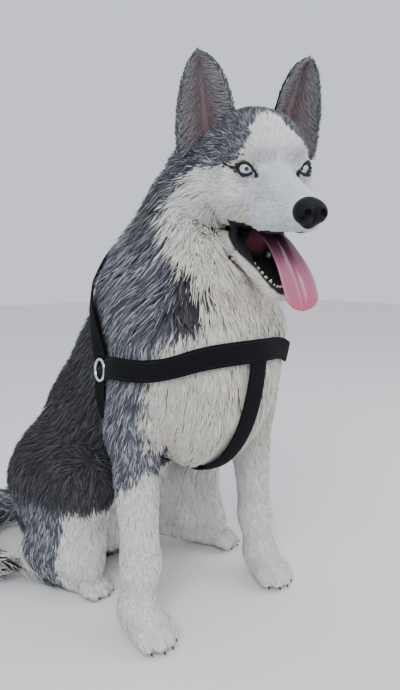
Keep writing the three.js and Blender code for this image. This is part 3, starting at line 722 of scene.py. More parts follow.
def agouti_share(p):
    """Where the dark hairs are banded grey: not in the saddle or the streak down the neck."""
    y, z = p[..., 1], p[..., 2]
    wave = unevenness(p, 60) * 14
    saddle = ramp(y + wave, 12, 44) * ramp(z, 505, 470) * ramp(z, 140, 165)
    behind = y + 0.3 * wave - neck_line(p)
    streak = ramp(behind, 30, 14) * ramp(z, 400, 425) * ramp(z, 600, 580)
    body = np.clip(1 - 0.85 * saddle - 0.9 * streak, 0, 1)
    head = (0.6 + 0.3 * unevenness(p, 22)) * (1 - round_eye(to_head(p)))
    return np.where(head_side(p) > 2, head, body)


def coat_colour(p):
    """How dark the coat is at each point, and the colours of its dark and its pale hair, the pale with
    painted cool shade on the muzzle.
    """
    q = to_head(p)
    dark = dark_share(p)
    black = mix(BLACK, GREY, agouti_share(p))
    chest = ramp(p[..., 2], 170, 260) * ramp(p[..., 2], 560, 500)
    brow = ramp(np.hypot(np.abs(q[..., 0]) - 34, np.hypot(q[..., 1] - 4, q[..., 2] - 14)), 24, 10)
    warm = np.clip(0.2 + 0.55 * chest + 0.6 * brow + 0.3 * unevenness(p, 80), 0, 1)
    pale = mix(WHITE, CREAM, warm)
    # The front of the muzzle is painted greyer and bluer: painted cool shade
    cool_shade = ramp(q[..., 1], 4, -18) * ramp(q[..., 2], -100, -80) * (head_side(p) > 2)
    return dark, black, mix(pale, SHADED_COOL_WHITE, 0.8 * cool_shade)


def mouth_depth(p):
    """Distances to the hollow of the upper jaw and to the floor of the mouth."""
    q = to_head(p).astype(np.float32)
    return palate(q), mouth_floor(closed_jaw(q).astype(np.float32))


def bare_share(p):
    """Where the skin has no hair: 1 on the lips, in the mouth and throat, and round the eyes."""
    upper, lower = mouth_depth(p)
    q = to_head(p)
    shut = closed_jaw(q)
    # The black lips fill the gape: below one line on the muzzle, above another on the jaw
    above = np.interp(q[..., 1], [-80, -45, -18, 9, 30, 45], [-61, -63, -65, -58, -54, -51])
    below = np.interp(shut[..., 1], [-68, -56, -37, -21, -2, 16, 33], [-81, -79, -77, -76, -75, -73, -67])
    gape = ramp(above - q[..., 2], -1.2, 1.2) * ramp(shut[..., 2] - below, -1.2, 1.2)
    gape = gape * ramp(34 + 0.85 * (-54 - q[..., 2]) - q[..., 1], -2, 2)
    # The throat behind the tongue is bare and painted black: painted shade deep in the open mouth
    throat_shade = ramp(np.abs(q[..., 0]), 38, 34) * ramp(q[..., 1], 24, 30) * ramp(q[..., 1], 112, 104)
    over_jaw = ramp(shut[..., 2], -88, -84)
    behind_jaw = ramp(q[..., 1], 40, 46) * ramp(q[..., 2], -106, -102)
    throat_shade = throat_shade * ramp(above - q[..., 2], 0, 4) * np.maximum(over_jaw, behind_jaw)
    rim = ramp(eye_opening(q), 2.6, 1.6)
    return np.maximum.reduce([ramp(upper, 4.0, 2.0), ramp(lower, 6.5, 4.5), gape, throat_shade, rim])


# The skin is dark and bare at the lips, the rims of the eyes and inside the mouth, where the throat is
# painted black as shade.
# Under the coat it has the coat's own colours, darkened by painted shade, as fur is shaded between its
# tufts.
dark, black, pale = coat_colour(skin_points)
# The coat's colours times 0.8: painted shade between the tufts
hide = mix(pale * 0.8, black * 0.8, dark)
upper, lower = mouth_depth(skin_points)
inside = np.maximum(ramp(upper, 0.8, -2.0), ramp(lower, 1.0, -2.0))
flesh = mix(LIP_AND_THROAT_SHADE, MOUTH, inside)
paint(skin, mix(hide, flesh, bare_share(skin_points)))
skin.data.materials.append(surface_material("hide", None, 0.6, specular=0.2))
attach(skin, "root")
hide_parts("head", "lower_jaw", "neck", "chest", "rump")
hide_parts("foreleg_right", "forepaw_right", "foreleg_left", "forepaw_left")
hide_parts("thigh_right", "shank_right", "hindpaw_right")
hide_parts("thigh_left", "shank_left", "hindpaw_left")
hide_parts("tail_base", "tail_middle", "tail_tip")

# The eyes are wet balls with a pale blue iris, a dark ring round it and a small pupil.
# They turn a little towards the dog's right, where it looks.
GAZE = unit([-0.25, -0.96, 0.02])
PUPIL = np.array([0.004, 0.004, 0.005])
IRIS_DEEP = np.array([0.25, 0.34, 0.43])
IRIS_PALE = np.array([0.48, 0.58, 0.66])
IRIS_INNER = np.array([0.42, 0.48, 0.50])
IRIS_RING = np.array([0.012, 0.016, 0.022])
EYE_BROWN = np.array([0.03, 0.022, 0.02])


def grid_faces(rows, columns):
    """The quads over rows of points, each row closed round to its own start."""
    r, c = np.meshgrid(np.arange(rows - 1), np.arange(columns), indexing="ij")
    here, after = r.ravel() * columns, (r.ravel() + 1) * columns
    c = c.ravel()
    d = (c + 1) % columns
    return np.stack([here + c, here + d, after + d, after + c], -1)


def eye(side, node):
    """A ball that bulges a little in front, painted in rings round the way it looks."""
    centre = np.array([side * EYE[0], EYE[1], EYE[2]])
    rows, columns = 60, 64
    t = np.linspace(0, 1, rows)[:, None] ** 1.3 * np.pi
    a = np.linspace(0, 2 * np.pi, columns, endpoint=False)[None, :]
    across = unit(np.cross([0, 0, 1], GAZE))
    up = np.cross(GAZE, across)
    bulge = 1 + 0.035 * ramp(t, 0.62, 0.3)
    radius = EYE_RADIUS * bulge
    points = (
        (radius * np.cos(t))[..., None] * GAZE
        + (radius * np.sin(t) * np.cos(a))[..., None] * across
        + (radius * np.sin(t) * np.sin(a))[..., None] * up
    )
    faces = grid_faces(rows, columns)[:, [0, 3, 2, 1]]
    made = make_mesh("eyeball_" + node[4:], to_dog(points.reshape(-1, 3) + centre), faces)
    off = np.broadcast_to(EYE_RADIUS * np.sin(t), (rows, columns))
    streaks = 0.5 + 0.5 * np.sin(a * 17 + 2.1 * np.sin(a * 5)) * np.sin(a * 29 + off)
    iris = mix(IRIS_DEEP, IRIS_PALE, streaks)
    iris = mix(iris, IRIS_INNER, ramp(off, 4.0, 2.8))
    colour = mix(PUPIL, iris, ramp(off, 2.2, 2.6))
    colour = mix(colour, IRIS_RING, ramp(off, 6.6, 7.5))
    colour = mix(colour, EYE_BROWN, ramp(off, 8.2, 8.9))
    paint(made, colour.reshape(-1, 3))
    made.data.materials.append(EYE_FINISH)
    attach(made, "root")
    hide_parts(node)


EYE_FINISH = surface_material("wet_eye", None, 0.12, coat=1.0)
eye(-1, "eye_right")
eye(1, "eye_left")

# The nose is a pad of thick black skin, bare and pebbled like leather. It sits on the end
# of the muzzle, with two nostrils that run out into slits at the sides and a groove below.
nose_pad = both_sides(
    blend(
        5,
        egg((0, -82, -40), (16, 15, 14)),
        egg((8, -87, -42), (10, 12, 11)),
        egg((0, -83, -50), (8, 9, 9)),
    )
)
nostril = both_sides(
    blend(3, egg((8.5, -99, -41), (3.4, 6, 3.6)), taper((9, -98, -43), (14, -93, -47), 1.8, 1.0))
)
groove = egg((0, -100, -52), (1.1, 6, 13))
nose_form = hollow(1.5, hollow(2, nose_pad, nostril), groove)
nose_lattice = Lattice(
    lambda p: nose_form(to_head(p).astype(np.float32)),
    to_dog([0, -84, -42]) - 32,
    to_dog([0, -84, -42]) + 32,
    0.7,
    3,
)
nose_points, nose_quads = nose_lattice.surface()
nose = make_mesh("nose_pad", nose_points, nose_quads[:, ::-1])
nose_finish = surface_material("nose_leather", (0.004, 0.004, 0.006), 0.4, coat=0.03, specular=0.12)
pebbles = nose_finish.node_tree.nodes.new("ShaderNodeTexVoronoi")
pebbles.inputs["Scale"].default_value = 900
raised = nose_finish.node_tree.nodes.new("ShaderNodeBump")
raised.inputs["Strength"].default_value = 0.5
raised.inputs["Distance"].default_value = 0.0004
nose_finish.node_tree.links.new(pebbles.outputs["Distance"], raised.inputs["Height"])
nose_shader = nose_finish.node_tree.nodes["Principled BSDF"]
nose_finish.node_tree.links.new(raised.outputs["Normal"], nose_shader.inputs["Normal"])
nose.data.materials.append(nose_finish)
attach(nose, "root")
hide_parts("nose")

# The tongue is a soft, wet blade of muscle with a groove down its middle. It grows from the
# floor of the mouth and hangs out over the lower jaw, thinner to its round end; its root in the mouth is
# painted dark as shade.
TONGUE_LINE = [(0, 34, -72), (2, -6, -80), (5, -33, -99), (8, -48, -117), (10, -59, -136), (9, -67, -151)]
TONGUE_ROWS, TONGUE_ROUND = 60, 40
# The root is painted dark: painted shade inside the mouth
TONGUE_ROOT_SHADE = np.array([0.07, 0.02, 0.04])
TONGUE_MIDDLE = np.array([0.34, 0.10, 0.17])
TONGUE_END = np.array([0.43, 0.08, 0.14])
tongue_line = smooth_line(TONGUE_LINE, TONGUE_ROWS)
tongue_points = []
for i, middle in enumerate(tongue_line):
    t = i / (TONGUE_ROWS - 1)
    along = unit(tongue_line[min(i + 1, TONGUE_ROWS - 1)] - tongue_line[max(i - 1, 0)])
    across = unit(np.cross(along, [0, 0.5, -0.87]) * np.array([1, 0.2, 0.2]))
    across = across if across[0] > 0 else -across
    top = unit(np.cross(along, across))
    top = top if top[1] < 0.4 and top @ np.array([0, -0.6, 0.8]) > 0 else -top
    wide = 12 + 8.5 * np.sin(min(1, t * 1.1) * np.pi * 0.62)
    end = np.sqrt(max(0.0, 1 - max(0.0, (t - 0.8) / 0.2) ** 2))
    wide = max(0.3, wide * end)
    thick = (5.0 - 1.6 * t) * (0.35 + 0.65 * end)
    for k in range(TONGUE_ROUND):
        a = 2 * np.pi * k / TONGUE_ROUND
        u, v = np.cos(a), np.sin(a)
        lift = v * thick + (1.8 * abs(u) ** 2 + 0.9 * np.sin(9 * t + 2 * u)) * end
        if v > 0:
            lift -= 3.0 * np.exp(-((u * wide / 2.6) ** 2)) * end
        tongue_points.append(middle + across * u * wide + top * lift)
tongue_faces = grid_faces(TONGUE_ROWS, TONGUE_ROUND)
tongue = make_mesh("tongue_blade", to_dog(np.array(tongue_points)), tongue_faces)
far_out = np.repeat(np.linspace(0, 1, TONGUE_ROWS), TONGUE_ROUND)
mauve_and_shade = mix(TONGUE_ROOT_SHADE, TONGUE_MIDDLE, ramp(far_out, 0.2, 0.6))
paint(tongue, mix(mauve_and_shade, TONGUE_END, ramp(far_out, 0.6, 1.0)))
tongue_finish = surface_material("tongue_flesh", None, 0.38, coat=0.25)
flesh_shader = tongue_finish.node_tree.nodes["Principled BSDF"]
flesh_shader.inputs["Subsurface Weight"].default_value = 0.15
flesh_shader.inputs["Subsurface Scale"].default_value = 0.004
tongue.data.materials.append(tongue_finish)
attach(tongue, "root")
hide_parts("tongue")

# The teeth are hard, cream enamel, rooted in the gums of both jaws. On each side there are
# three small ones in front, then a long fang, then a row of cheek teeth.


def cones(name, pieces, sides=10):
    """One mesh of blunt cones, each from its root to its tip with a radius at the root."""
    points, triangles = [], []
    for root, tip, radius in pieces:
        along = unit(np.array(tip) - root)
        across = unit(np.cross(along, [0.3, 1, 0.2]))
        up = np.cross(along, across)
        base = len(points)
        for t, share in ((0, 1.0), (0.35, 0.86), (0.7, 0.5), (0.93, 0.18)):
            middle = np.array(root) + (np.array(tip) - root) * t
            for k in range(sides):
                a = 2 * np.pi * k / sides
                points.append(middle + radius * share * (across * np.cos(a) + up * np.sin(a)))
        points.append(np.array(tip, float))
        for a, b, c, d in base + grid_faces(4, sides):
            triangles += [(a, b, c), (a, c, d)]
        last, end = base + 3 * sides, len(points) - 1
        triangles += [(last + k, last + (k + 1) % sides, end) for k in range(sides)]
    return make_mesh(name, np.array(points), triangles)


def tooth_row(front, back, gum, rise, canine):
    """The teeth of one jaw, from its front to its back, at the height of the gum."""
    made = []
    for side in (-1, 1):
        for i in range(3):
            root = np.array([side * (1.8 + i * 3.2), front + i * i * 0.9, gum])
            made.append((root, root + [0, -1, rise * 0.6], 1.6))
        corner = np.array([side * 11.5, front + 9, gum])
        made.append((corner, corner + [side * 0.5, -3, rise * canine], 2.5))
        for i in range(6):
            t = i / 5
            root = np.array([side * (12.0 + 7 * t), front + 20 + (back - front - 20) * t, gum])
            made.append((root, root + [0, -1, rise * (0.35 + 0.35 * t)], 2.4))
    return made


def opened(q):
    return (np.asarray(q) - JAW_HINGE) @ JAW_TURN.T + JAW_HINGE


tooth_pieces = []
for root, tip, radius in tooth_row(-68, -4, -56, -8, 1.0):
    tooth_pieces.append((to_dog(root), to_dog(tip), radius))
for root, tip, radius in tooth_row(-62, 4, -82, 6, 1.3):
    tooth_pieces.append((to_dog(opened(root)), to_dog(opened(tip)), radius))
teeth = cones("teeth", tooth_pieces)
teeth.data.materials.append(surface_material("enamel", (0.72, 0.66, 0.52), 0.3))
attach(teeth, "root")

# The ears stand up, are cupped and open to the front. The back of each is one thin layer
# of gristle with short dense hair; the inside is bare in the middle.
EAR_INNER = np.array([(30, 50, 50), (35, 52, 108), (66, 64, 128)], float)
EAR_OUTER = np.array([(91, 78, 10), (101, 71, 82), (76, 64, 128)], float)
LEFT_EAR_WIDER = np.array([(10, 0, 0), (6, 0, 0), (0, 0, 0)], float)
EAR_FACING = unit([0.38, -0.92, 0.05])
EAR_ROWS, EAR_COLUMNS = 48, 32
EAR_TIP = 0.82
# The bare pink skin inside the ear, darkened with painted shade of the cup
EAR_SKIN_LOW = np.array([0.15, 0.09, 0.10])
EAR_SKIN_HIGH = np.array([0.12, 0.10, 0.11])


def bow(points, v):
    v = np.asarray(v)[..., None]
    return (1 - v) ** 2 * points[0] + 2 * v * (1 - v) * points[1] + v**2 * points[2]


def ear_point(side, u, v, lift):
    depth = 24 * (1 - v) ** 0.8 + 2
    round_tip = np.sqrt(1 - np.clip((v - EAR_TIP) / (1.001 - EAR_TIP), 0, 1) ** 2)
    across = (u * round_tip + 1)[..., None] / 2
    inner = EAR_INNER - LEFT_EAR_WIDER * (side > 0)
    p = bow(inner, v) * (1 - across) + bow(EAR_OUTER, v) * across
    p = p + EAR_FACING * (lift - depth * (1 - np.abs(u) ** 2.2))[..., None]
    return to_dog(p * np.array([side, 1, 1]))


def ear_shell(side, name):
    v = np.repeat(np.linspace(0, 1, EAR_ROWS) ** 0.8, EAR_COLUMNS).reshape(EAR_ROWS, -1)
    u = np.tile(np.linspace(-1, 1, EAR_COLUMNS), EAR_ROWS).reshape(EAR_ROWS, -1)
    back = ear_point(side, u, v, -1.0)
    front = ear_point(side, u * 0.97, v, 0.8)[:, ::-1]
    points = np.concatenate([back, front], 1).reshape(-1, 3)
    faces = grid_faces(EAR_ROWS, 2 * EAR_COLUMNS)
    made = make_mesh(name, points, faces if side > 0 else faces[:, ::-1])
    inside = np.tile(np.r_[np.zeros(EAR_COLUMNS), np.ones(EAR_COLUMNS)], EAR_ROWS)
    edge = np.abs(np.concatenate([u, u[:, ::-1]], 1)).ravel()
    low = np.concatenate([v, v], 1).ravel()
    bare = mix(EAR_SKIN_LOW, EAR_SKIN_HIGH, ramp(low, 0.2, 0.8))
    bare = mix(bare, GREY, ramp(edge, 0.6, 0.95))
    # The back is the grey of its hair darkened: painted shade between the tufts
    paint(made, mix(GREY * 0.5, bare, inside))
    made.data.materials.append(surface_material(name, None, 0.65))
    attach(made, "root")
    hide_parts("ear_right" if side < 0 else "ear_left")


ear_shell(-1, "ear_shell_right")
ear_shell(1, "ear_shell_left")

# The claws are short, dark horn, worn blunt. One grows out of the end of each toe and
# points forward and down to the ground.
claw_pieces = []
for tip, heading in toe_tips:
    root = level(tip + heading * 2, tip[2] + 1)
    claw_pieces.append((root, level(tip + heading * 9.5, 5), 3.0))
claws = cones("claws", claw_pieces)
claws.data.materials.append(surface_material("claw_horn", (0.035, 0.03, 0.03), 0.35))
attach(claws, "root")

# The harness is flat black webbing with a row of stitches along each edge. It runs from
# ring to ring over the coat and presses it down: across the chest, over the back, round
# behind the forelegs, and between these down the breastbone.
STRAP_HALF, STRAP_THICK, STRAP_LIFT = 14.0, 3.0, -1.5
CHEST_FRONT, GIRTH_FRONT = (-3, -129, 374), (-15, 14, 196)
RING_AT = {"right": (-124, 43, 340), "left": (102, 43, 340), "back": (-10, 112, 490)}
STRAPS = {
    "chest": [
        RING_AT["right"],
        (-122, -12, 350),
        (-98, -76, 362),
        (-56, -114, 371),
        CHEST_FRONT,
        (44, -112, 371),
        (82, -74, 362),
        (102, -12, 350),
        RING_AT["left"],
    ],
    "sternum": [CHEST_FRONT, (-10, -126, 330), (-15, -108, 270), (-18, -62, 220), GIRTH_FRONT],
    "girth": [
        RING_AT["right"],
        (-120, 50, 290),
        (-92, 38, 225),
        GIRTH_FRONT,
        (62, 38, 225),
        (98, 50, 290),
        RING_AT["left"],
    ],
    "back": [
        RING_AT["right"],
        (-108, 78, 412),
        (-62, 104, 470),
        RING_AT["back"],
        (42, 104, 470),
        (86, 78, 412),
        RING_AT["left"],
    ],
}
STRAP_STEPS = 160
# The section of the webbing: how far to the side in half widths, how high in thicknesses
STRAP_SECTION = [
    (-0.96, 0.0),
    (-1.0, 0.5),
    (-0.96, 0.85),
    (-0.6, 1.0),
    (0.0, 1.06),
    (0.6, 1.0),
    (0.96, 0.85),
    (1.0, 0.5),
    (0.96, 0.0),
    (0.0, 0.0),
]
# The chest strap lies over the breastbone strap. Each is cut off where its ring holds it.
CHEST_OVER = 1.6
STRAP_CUT, STERNUM_CUT = 12, 10
WEAVE_SIZE = 3.2
SEAM_PLACE, SEAM_HEIGHT = 0.76, 0.97
STITCH_STEP, STITCH_LENGTH, THREAD_RADIUS = 4.4, 3.2, 0.55


def coat_slope(p):
    steps = np.eye(3) * 1.5
    pairs = [trunk_and_neck(p + e) - trunk_and_neck(p - e) for e in steps]
    return unit(np.stack(pairs, -1))


def on_coat(p, lift):
    for _ in range(4):
        p = p - coat_slope(p) * (trunk_and_neck(p) - lift)[..., None]
    return p


def at_run(line, run, far):
    return np.array([np.interp(far, run, line[:, k]) for k in range(3)])


def strap_line(name):
    """A strap's middle line on the coat in even steps, and how far along it each one is."""
    line = smooth_line(STRAPS[name], 60)
    for _ in range(3):
        line = on_coat(line, 0.0)
        line[1:-1] = (line[:-2] + 2 * line[1:-1] + line[2:]) / 4
    run = np.r_[0, np.cumsum(np.linalg.norm(np.diff(line, axis=0), axis=1))]
    even = np.linspace(0, run[-1], STRAP_STEPS)
    line = np.stack([np.interp(even, run, line[:, k]) for k in range(3)], 1)
    return on_coat(line, 0.0), even


webbing = surface_material("webbing", (0.006, 0.006, 0.008), 0.85, specular=0.1)
thread = surface_material("thread", (0.02, 0.02, 0.024), 0.7, specular=0.15)
links = webbing.node_tree.links
ribs = webbing.node_tree.nodes.new("ShaderNodeTexWave")
ribs.bands_direction = "DIAGONAL"
ribs.inputs["Scale"].default_value = 1.0
ribs.inputs["Distortion"].default_value = 0.4
woven = webbing.node_tree.nodes.new("ShaderNodeUVMap")
woven.uv_map = "weave"
weave_bump = webbing.node_tree.nodes.new("ShaderNodeBump")
weave_bump.inputs["Strength"].default_value = 0.6
weave_bump.inputs["Distance"].default_value = 0.0006
links.new(woven.outputs["UV"], ribs.inputs["Vector"])
links.new(ribs.outputs["Color"], weave_bump.inputs["Height"])
links.new(weave_bump.outputs["Normal"], webbing.node_tree.nodes["Principled BSDF"].inputs["Normal"])
strap_lines = {}
for name in STRAPS:
    line, run = strap_line(name)
    strap_lines[name] = line
    along = unit(np.gradient(line, axis=0))
    normal = coat_slope(line)
    across = unit(np.cross(along, normal))
    cut = STERNUM_CUT if name == "sternum" else STRAP_CUT
    kept = (run > cut) & (run < run[-1] - cut)
    lift = STRAP_LIFT + (CHEST_OVER if name == "chest" else 0.0)
    edges = []
    for side, height in STRAP_SECTION:
        edge = on_coat(line + across * (side * STRAP_HALF), 0.0)
        edges.append(edge + normal * (lift + height * STRAP_THICK))
    rows = np.stack(edges, 1)[kept]
    count, round_strap = rows.shape[:2]
    faces = grid_faces(count, round_strap)
    caps = [(0, k, k + 1, k + 1) for k in range(1, round_strap - 1)]
    last = (count - 1) * round_strap
    caps += [(last, last + k + 1, last + k, last + k) for k in range(1, round_strap - 1)]
    quads = np.vstack([faces, caps])
    triangles = np.vstack([quads[:, [0, 1, 2]], faces[:, [0, 2, 3]]])
    strap = make_mesh("webbing_" + name, rows.reshape(-1, 3), triangles)
    weave = strap.data.uv_layers.new(name="weave")
    over = np.tile(np.linspace(-1, 1, round_strap) * STRAP_HALF, count)
    place = np.stack([over, np.repeat(run[kept], round_strap)], 1)[triangles.ravel()]
    weave.data.foreach_set("uv", (place / WEAVE_SIZE).astype(np.float32).ravel())
    strap.data.materials.append(webbing)
    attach(strap, "root")
    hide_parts("strap_" + name)
    stitches = []
    for side in (-1, 1):
        seam = on_coat(line + across * (side * STRAP_HALF * SEAM_PLACE), 0.0)
        seam = seam + normal * (lift + SEAM_HEIGHT * STRAP_THICK)
        for far in np.arange(run[kept][0] + 3, run[kept][-1] - 3, STITCH_STEP):
            start, end = at_run(seam, run, far), at_run(seam, run, far + STITCH_LENGTH)
            stitches.append((start, end, THREAD_RADIUS))
    rows_of_thread = cones("stitches_" + name, stitches, 5)
    rows_of_thread.data.materials.append(thread)
    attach(rows_of_thread, "root")


def under_strap(p, half):
    """How far the straps press the hair down: fully below them, fading out to the sides."""
    near = np.full(len(p), 1e9)
    for line in strap_lines.values():
        for middle in line[::3]:
            near = np.minimum(near, ((p - middle) ** 2).sum(1))
    return ramp(np.sqrt(near), half + 12, half + 2)


# The rings are round steel wire, welded and polished. One joins the straps on each side of
# the dog, and one on its back lies where the two halves of the back strap meet.
RING_RADIUS, WIRE_RADIUS, RING_RISE = 14, 2.2, 4.2
RING_STEPS, WIRE_STEPS = 64, 16
steel = surface_material("steel", (0.72, 0.72, 0.73), 0.2, metal=1.0)
around_ring, around_wire = np.meshgrid(
    np.arange(RING_STEPS) * 2 * np.pi / RING_STEPS,
    np.arange(WIRE_STEPS) * 2 * np.pi / WIRE_STEPS,
    indexing="ij",
)
out_of_wire = (RING_RADIUS + WIRE_RADIUS * np.cos(around_wire))[..., None]
over_wire = (WIRE_RADIUS * np.sin(around_wire))[..., None]
ring_faces = grid_faces(RING_STEPS + 1, WIRE_STEPS) % (RING_STEPS * WIRE_STEPS)
for name, centre in RING_AT.items():
    centre = on_coat(np.array([centre], float), 0.0)
    facing = coat_slope(centre)[0]
    seat = centre[0] + facing * RING_RISE
    one = unit(np.cross(facing, [0.1, 0.2, 0.97]))
    two = np.cross(facing, one)
    spoke = np.cos(around_ring)[..., None] * one + np.sin(around_ring)[..., None] * two
    wire = seat + spoke * out_of_wire + facing * over_wire
    ring = make_mesh("steel_ring_" + name, wire.reshape(-1, 3), ring_faces[:, ::-1])
    ring.data.materials.append(steel)
    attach(ring, "root")
    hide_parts("ring_" + name)

# The coat: tufts of hair rooted in the skin that lie along the body and overlap. Each is a
# thin closed spike of three sides. Tufts that stand close lean together in clumps.


def roots_on(points, quads, keep, spacing, seed):
    """Places of tufts, spread evenly over the quads that keep() allows, spacing() apart."""
    rng = np.random.default_rng(seed)
    corners = points[quads]
    middle = corners.mean(1)
    one = np.cross(corners[:, 1] - corners[:, 0], corners[:, 2] - corners[:, 0])
    two = np.cross(corners[:, 2] - corners[:, 0], corners[:, 3] - corners[:, 0])
    area = (np.linalg.norm(one, axis=1) + np.linalg.norm(two, axis=1)) / 2
    share = keep(middle) * area / spacing(middle) ** 2
    total = np.cumsum(share)
    count = int(total[-1])
    pick = np.searchsorted(total, (np.arange(count) + rng.random(count)) * total[-1] / count)
    pick = np.minimum(pick, len(quads) - 1)
    a, b = rng.random((2, count, 1))
    c = corners[pick]
    return (c[:, 0] * (1 - a) + c[:, 1] * a) * (1 - b) + (c[:, 3] * (1 - a) + c[:, 2] * a) * b


def along_line(p, line):
    """The place of points on an unwrap round a line: how far along it, and the turn."""
    line = np.asarray(line, float)
    step = np.linalg.norm(np.diff(line, axis=0), axis=1)
    start = np.r_[0, np.cumsum(step)]
    best = np.full(len(p), 1e18)
    far = np.zeros(len(p))
    turn = np.zeros(len(p))
    for i, length in enumerate(step):
        way = (line[i + 1] - line[i]) / length
        d = p - line[i]
        t = np.clip(d @ way, 0, length)
        off = d - t[:, None] * way
        gap = (off * off).sum(1)
        side = unit(np.cross(way, [0.11, 0.2, 0.97] if abs(way[2]) < 0.8 else [0.1, 0.99, 0.05]))
        up = np.cross(side, way)
        nearer = gap < best
        best[nearer] = gap[nearer]
        far[nearer] = (start[i] + t[nearer]) / start[-1]
        turn[nearer] = np.arctan2(off[nearer] @ side, off[nearer] @ up) / (2 * np.pi) + 0.5
    return far, turn


COAT_FINISH = surface_material("coat", None, 0.75, specular=0.12)
SOFTNESS = 0.62
BAKED_PATCH = 0.003
MOST_TRIANGLES = 190000


def tuft_mesh(name, rings, wide, across, up, colours, place):
    """rings: the middle line of each tuft, its tip last; colours at the root and the tip.
    Light falls on a tuft partly as it does on the skin under it, as fur scatters it."""
    count, stations = rings.shape[:2]
    share = np.array([0.75, 1.0, 0.72] if stations == 4 else [0.85, 0.9])
    body = rings[:, :-1, None, :]
    half = (wide[:, None] * share)[:, :, None, None] / 2
    flat = np.stack([-across, across, 0 * across], 1)[:, None]
    rise = np.stack([-0.3 * up, -0.3 * up, 0.55 * up], 1)[:, None]
    points = (body + half * (flat + rise)).reshape(count, -1, 3)
    points = np.concatenate([points, rings[:, -1:]], 1)
    each = points.shape[1]
    faces = [(0, 2, 1)]
    for s in range(stations - 2):
        for k in range(3):
            a, b = 3 * s + k, 3 * s + (k + 1) % 3
            faces += [(a, b, b + 3), (a, b + 3, a + 3)]
    last = 3 * (stations - 2)
    faces += [(last + k, last + (k + 1) % 3, each - 1) for k in range(3)]
    faces = np.array(faces)[:, ::-1]
    every = (faces[None] + (np.arange(count) * each)[:, None, None]).reshape(-1, 3)
    made = make_mesh(name, points.reshape(-1, 3), every)
    own = np.tile(np.stack([-across, across, up], 1), (1, stations - 1, 1))
    own = np.concatenate([own, up[:, None]], 1)
    lit = unit(SOFTNESS * up[:, None] + (1 - SOFTNESS) * own).reshape(-1, 3)
    made.data.normals_split_custom_set_from_vertices(lit.astype(np.float32))
    t = np.r_[np.repeat(np.linspace(0, 0.72, stations - 1), 3), 1.0]
    root, tip = colours
    paint(made, (root[:, None] + (tip - root)[:, None] * t[None, :, None]).reshape(-1, 3))
    spot = np.stack([np.tile([0.2, 0.8, 0.5], stations - 1), t[:-1]], 1)
    spot = (np.vstack([spot, [0.5, 1.0]]) - 0.5) * BAKED_PATCH
    corner = (place[:, None] + spot[None]).reshape(-1, 2)
    layer = made.data.uv_layers.new(name="OFBake")
    layer.data.foreach_set("uv", corner[every.ravel()].astype(np.float32).ravel())
    made.data.materials.append(COAT_FINISH)
    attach(made, "root")


def head_share_at(p):
    p = p.astype(np.float32)
    return head_share_of(head_outline(p), body_outline(p))


def dress(name, roots, line, lattice, stations, seed):
    """The coat of one form: a tuft on each root, in meshes that are not too large."""
    rng = np.random.default_rng(seed)
    count = len(roots)
    share = head_share_at(roots)
    length, deep, wide = guided(roots, GUIDE_COAT, share).T
    normal = lattice.slope(roots)
    lie = guided(roots, GUIDE_LIE, share).astype(float)
    size = np.median(length) * 0.28 + 2.5
    cell = np.floor((roots + 3 * np.sin(roots[:, [1, 2, 0]] / 5)) / size).astype(int)
    _, clump = np.unique(cell, axis=0, return_inverse=True)
    clump = clump.ravel()
    number = np.bincount(clump)
    centre = np.stack([np.bincount(clump, roots[:, k]) / number for k in range(3)], 1)[clump]
    jitter = rng.normal(0, 0.10, (count, 3)) + rng.normal(0, 0.13, (number.size, 3))[clump]
    lie = unit(lie + jitter)
    lie = unit(lie - (lie * normal).sum(1, keepdims=True) * normal)
    near_eye = ramp(eye_opening(to_head(roots)), 8, 4)
    length = length * rng.uniform(0.75, 1.15, count) * (1 - 0.6 * near_eye)
    reach = deep * (rng.uniform(0.66, 1.06, count) + rng.normal(0, 0.05, number.size)[clump])
    rings = []
    for t in (0, 0.36, 0.7, 1) if stations == 4 else (0, 0.5, 1):
        q = roots + lie * (length * t)[:, None] + (centre - roots) * (0.55 * t * t)
        target = reach * (t**0.75) - 0.8 * (t == 0)
        pressed = np.minimum(target, np.maximum(deep - 8, 0.3 * deep))
        target = target + (pressed - target) * under_strap(q, STRAP_HALF)
        for _ in range(2):
            q = q - lattice.slope(q) * (lattice.at(q) - target)[:, None]
        q[:, 2] = np.maximum(q[:, 2], 0.6 + wide * 0.3)
        rings.append(q)
    rings = np.stack(rings, 1)
    across = unit(np.cross(rings[:, 1] - rings[:, 0], normal) + 1e-9)
    dark, black, pale = coat_colour(roots)
    chance = 0.35 * rng.random(count) + 0.65 * rng.random(number.size)[clump]
    chance = np.where(round_eye(to_head(roots)) > 0, 0.5, chance)
    is_dark = (chance < dark)[:, None]
    tone = (0.86 + 0.24 * rng.random(count) + rng.normal(0, 0.05, number.size)[clump])[:, None]
    banded = agouti_share(roots) * (rng.random(count) < 0.4) * rng.uniform(0.3, 0.9, count)
    dark_tip = mix(black, PALE_GREY, banded)
    tip = np.where(is_dark, dark_tip, np.minimum(pale * tone, 0.9))
    # A pale tuft's root is its colour darkened, as painted shade deep in the coat; a dark tuft's root is
    # near black
    root = np.where(is_dark, black + (dark_tip - black) * 0.3, pale * 0.74)
    far, turn = along_line(roots, line)
    place = 0.02 + 0.96 * np.stack([turn, far], 1)
    order = np.argsort(far)
    most = MOST_TRIANGLES // (6 * stations - 8)
    pieces = int(np.ceil(count / most))
    for i, some in enumerate(np.array_split(order, pieces)):
        tuft_mesh(
            name + ("_" + str(i + 1) if pieces > 1 else ""),
            rings[some],
            wide[some],
            across[some],
            normal[some],
            (root[some], tip[some]),
            place[some],
        )


def hairy(p):
    """Hair grows on the skin where it isn't bare, clear of the nose and off the ground."""
    off_nose = nose_pad(to_head(p).astype(np.float32)) > 1.2
    return (bare_share(p) < 0.35) & off_nose & (p[..., 2] > 1.5)


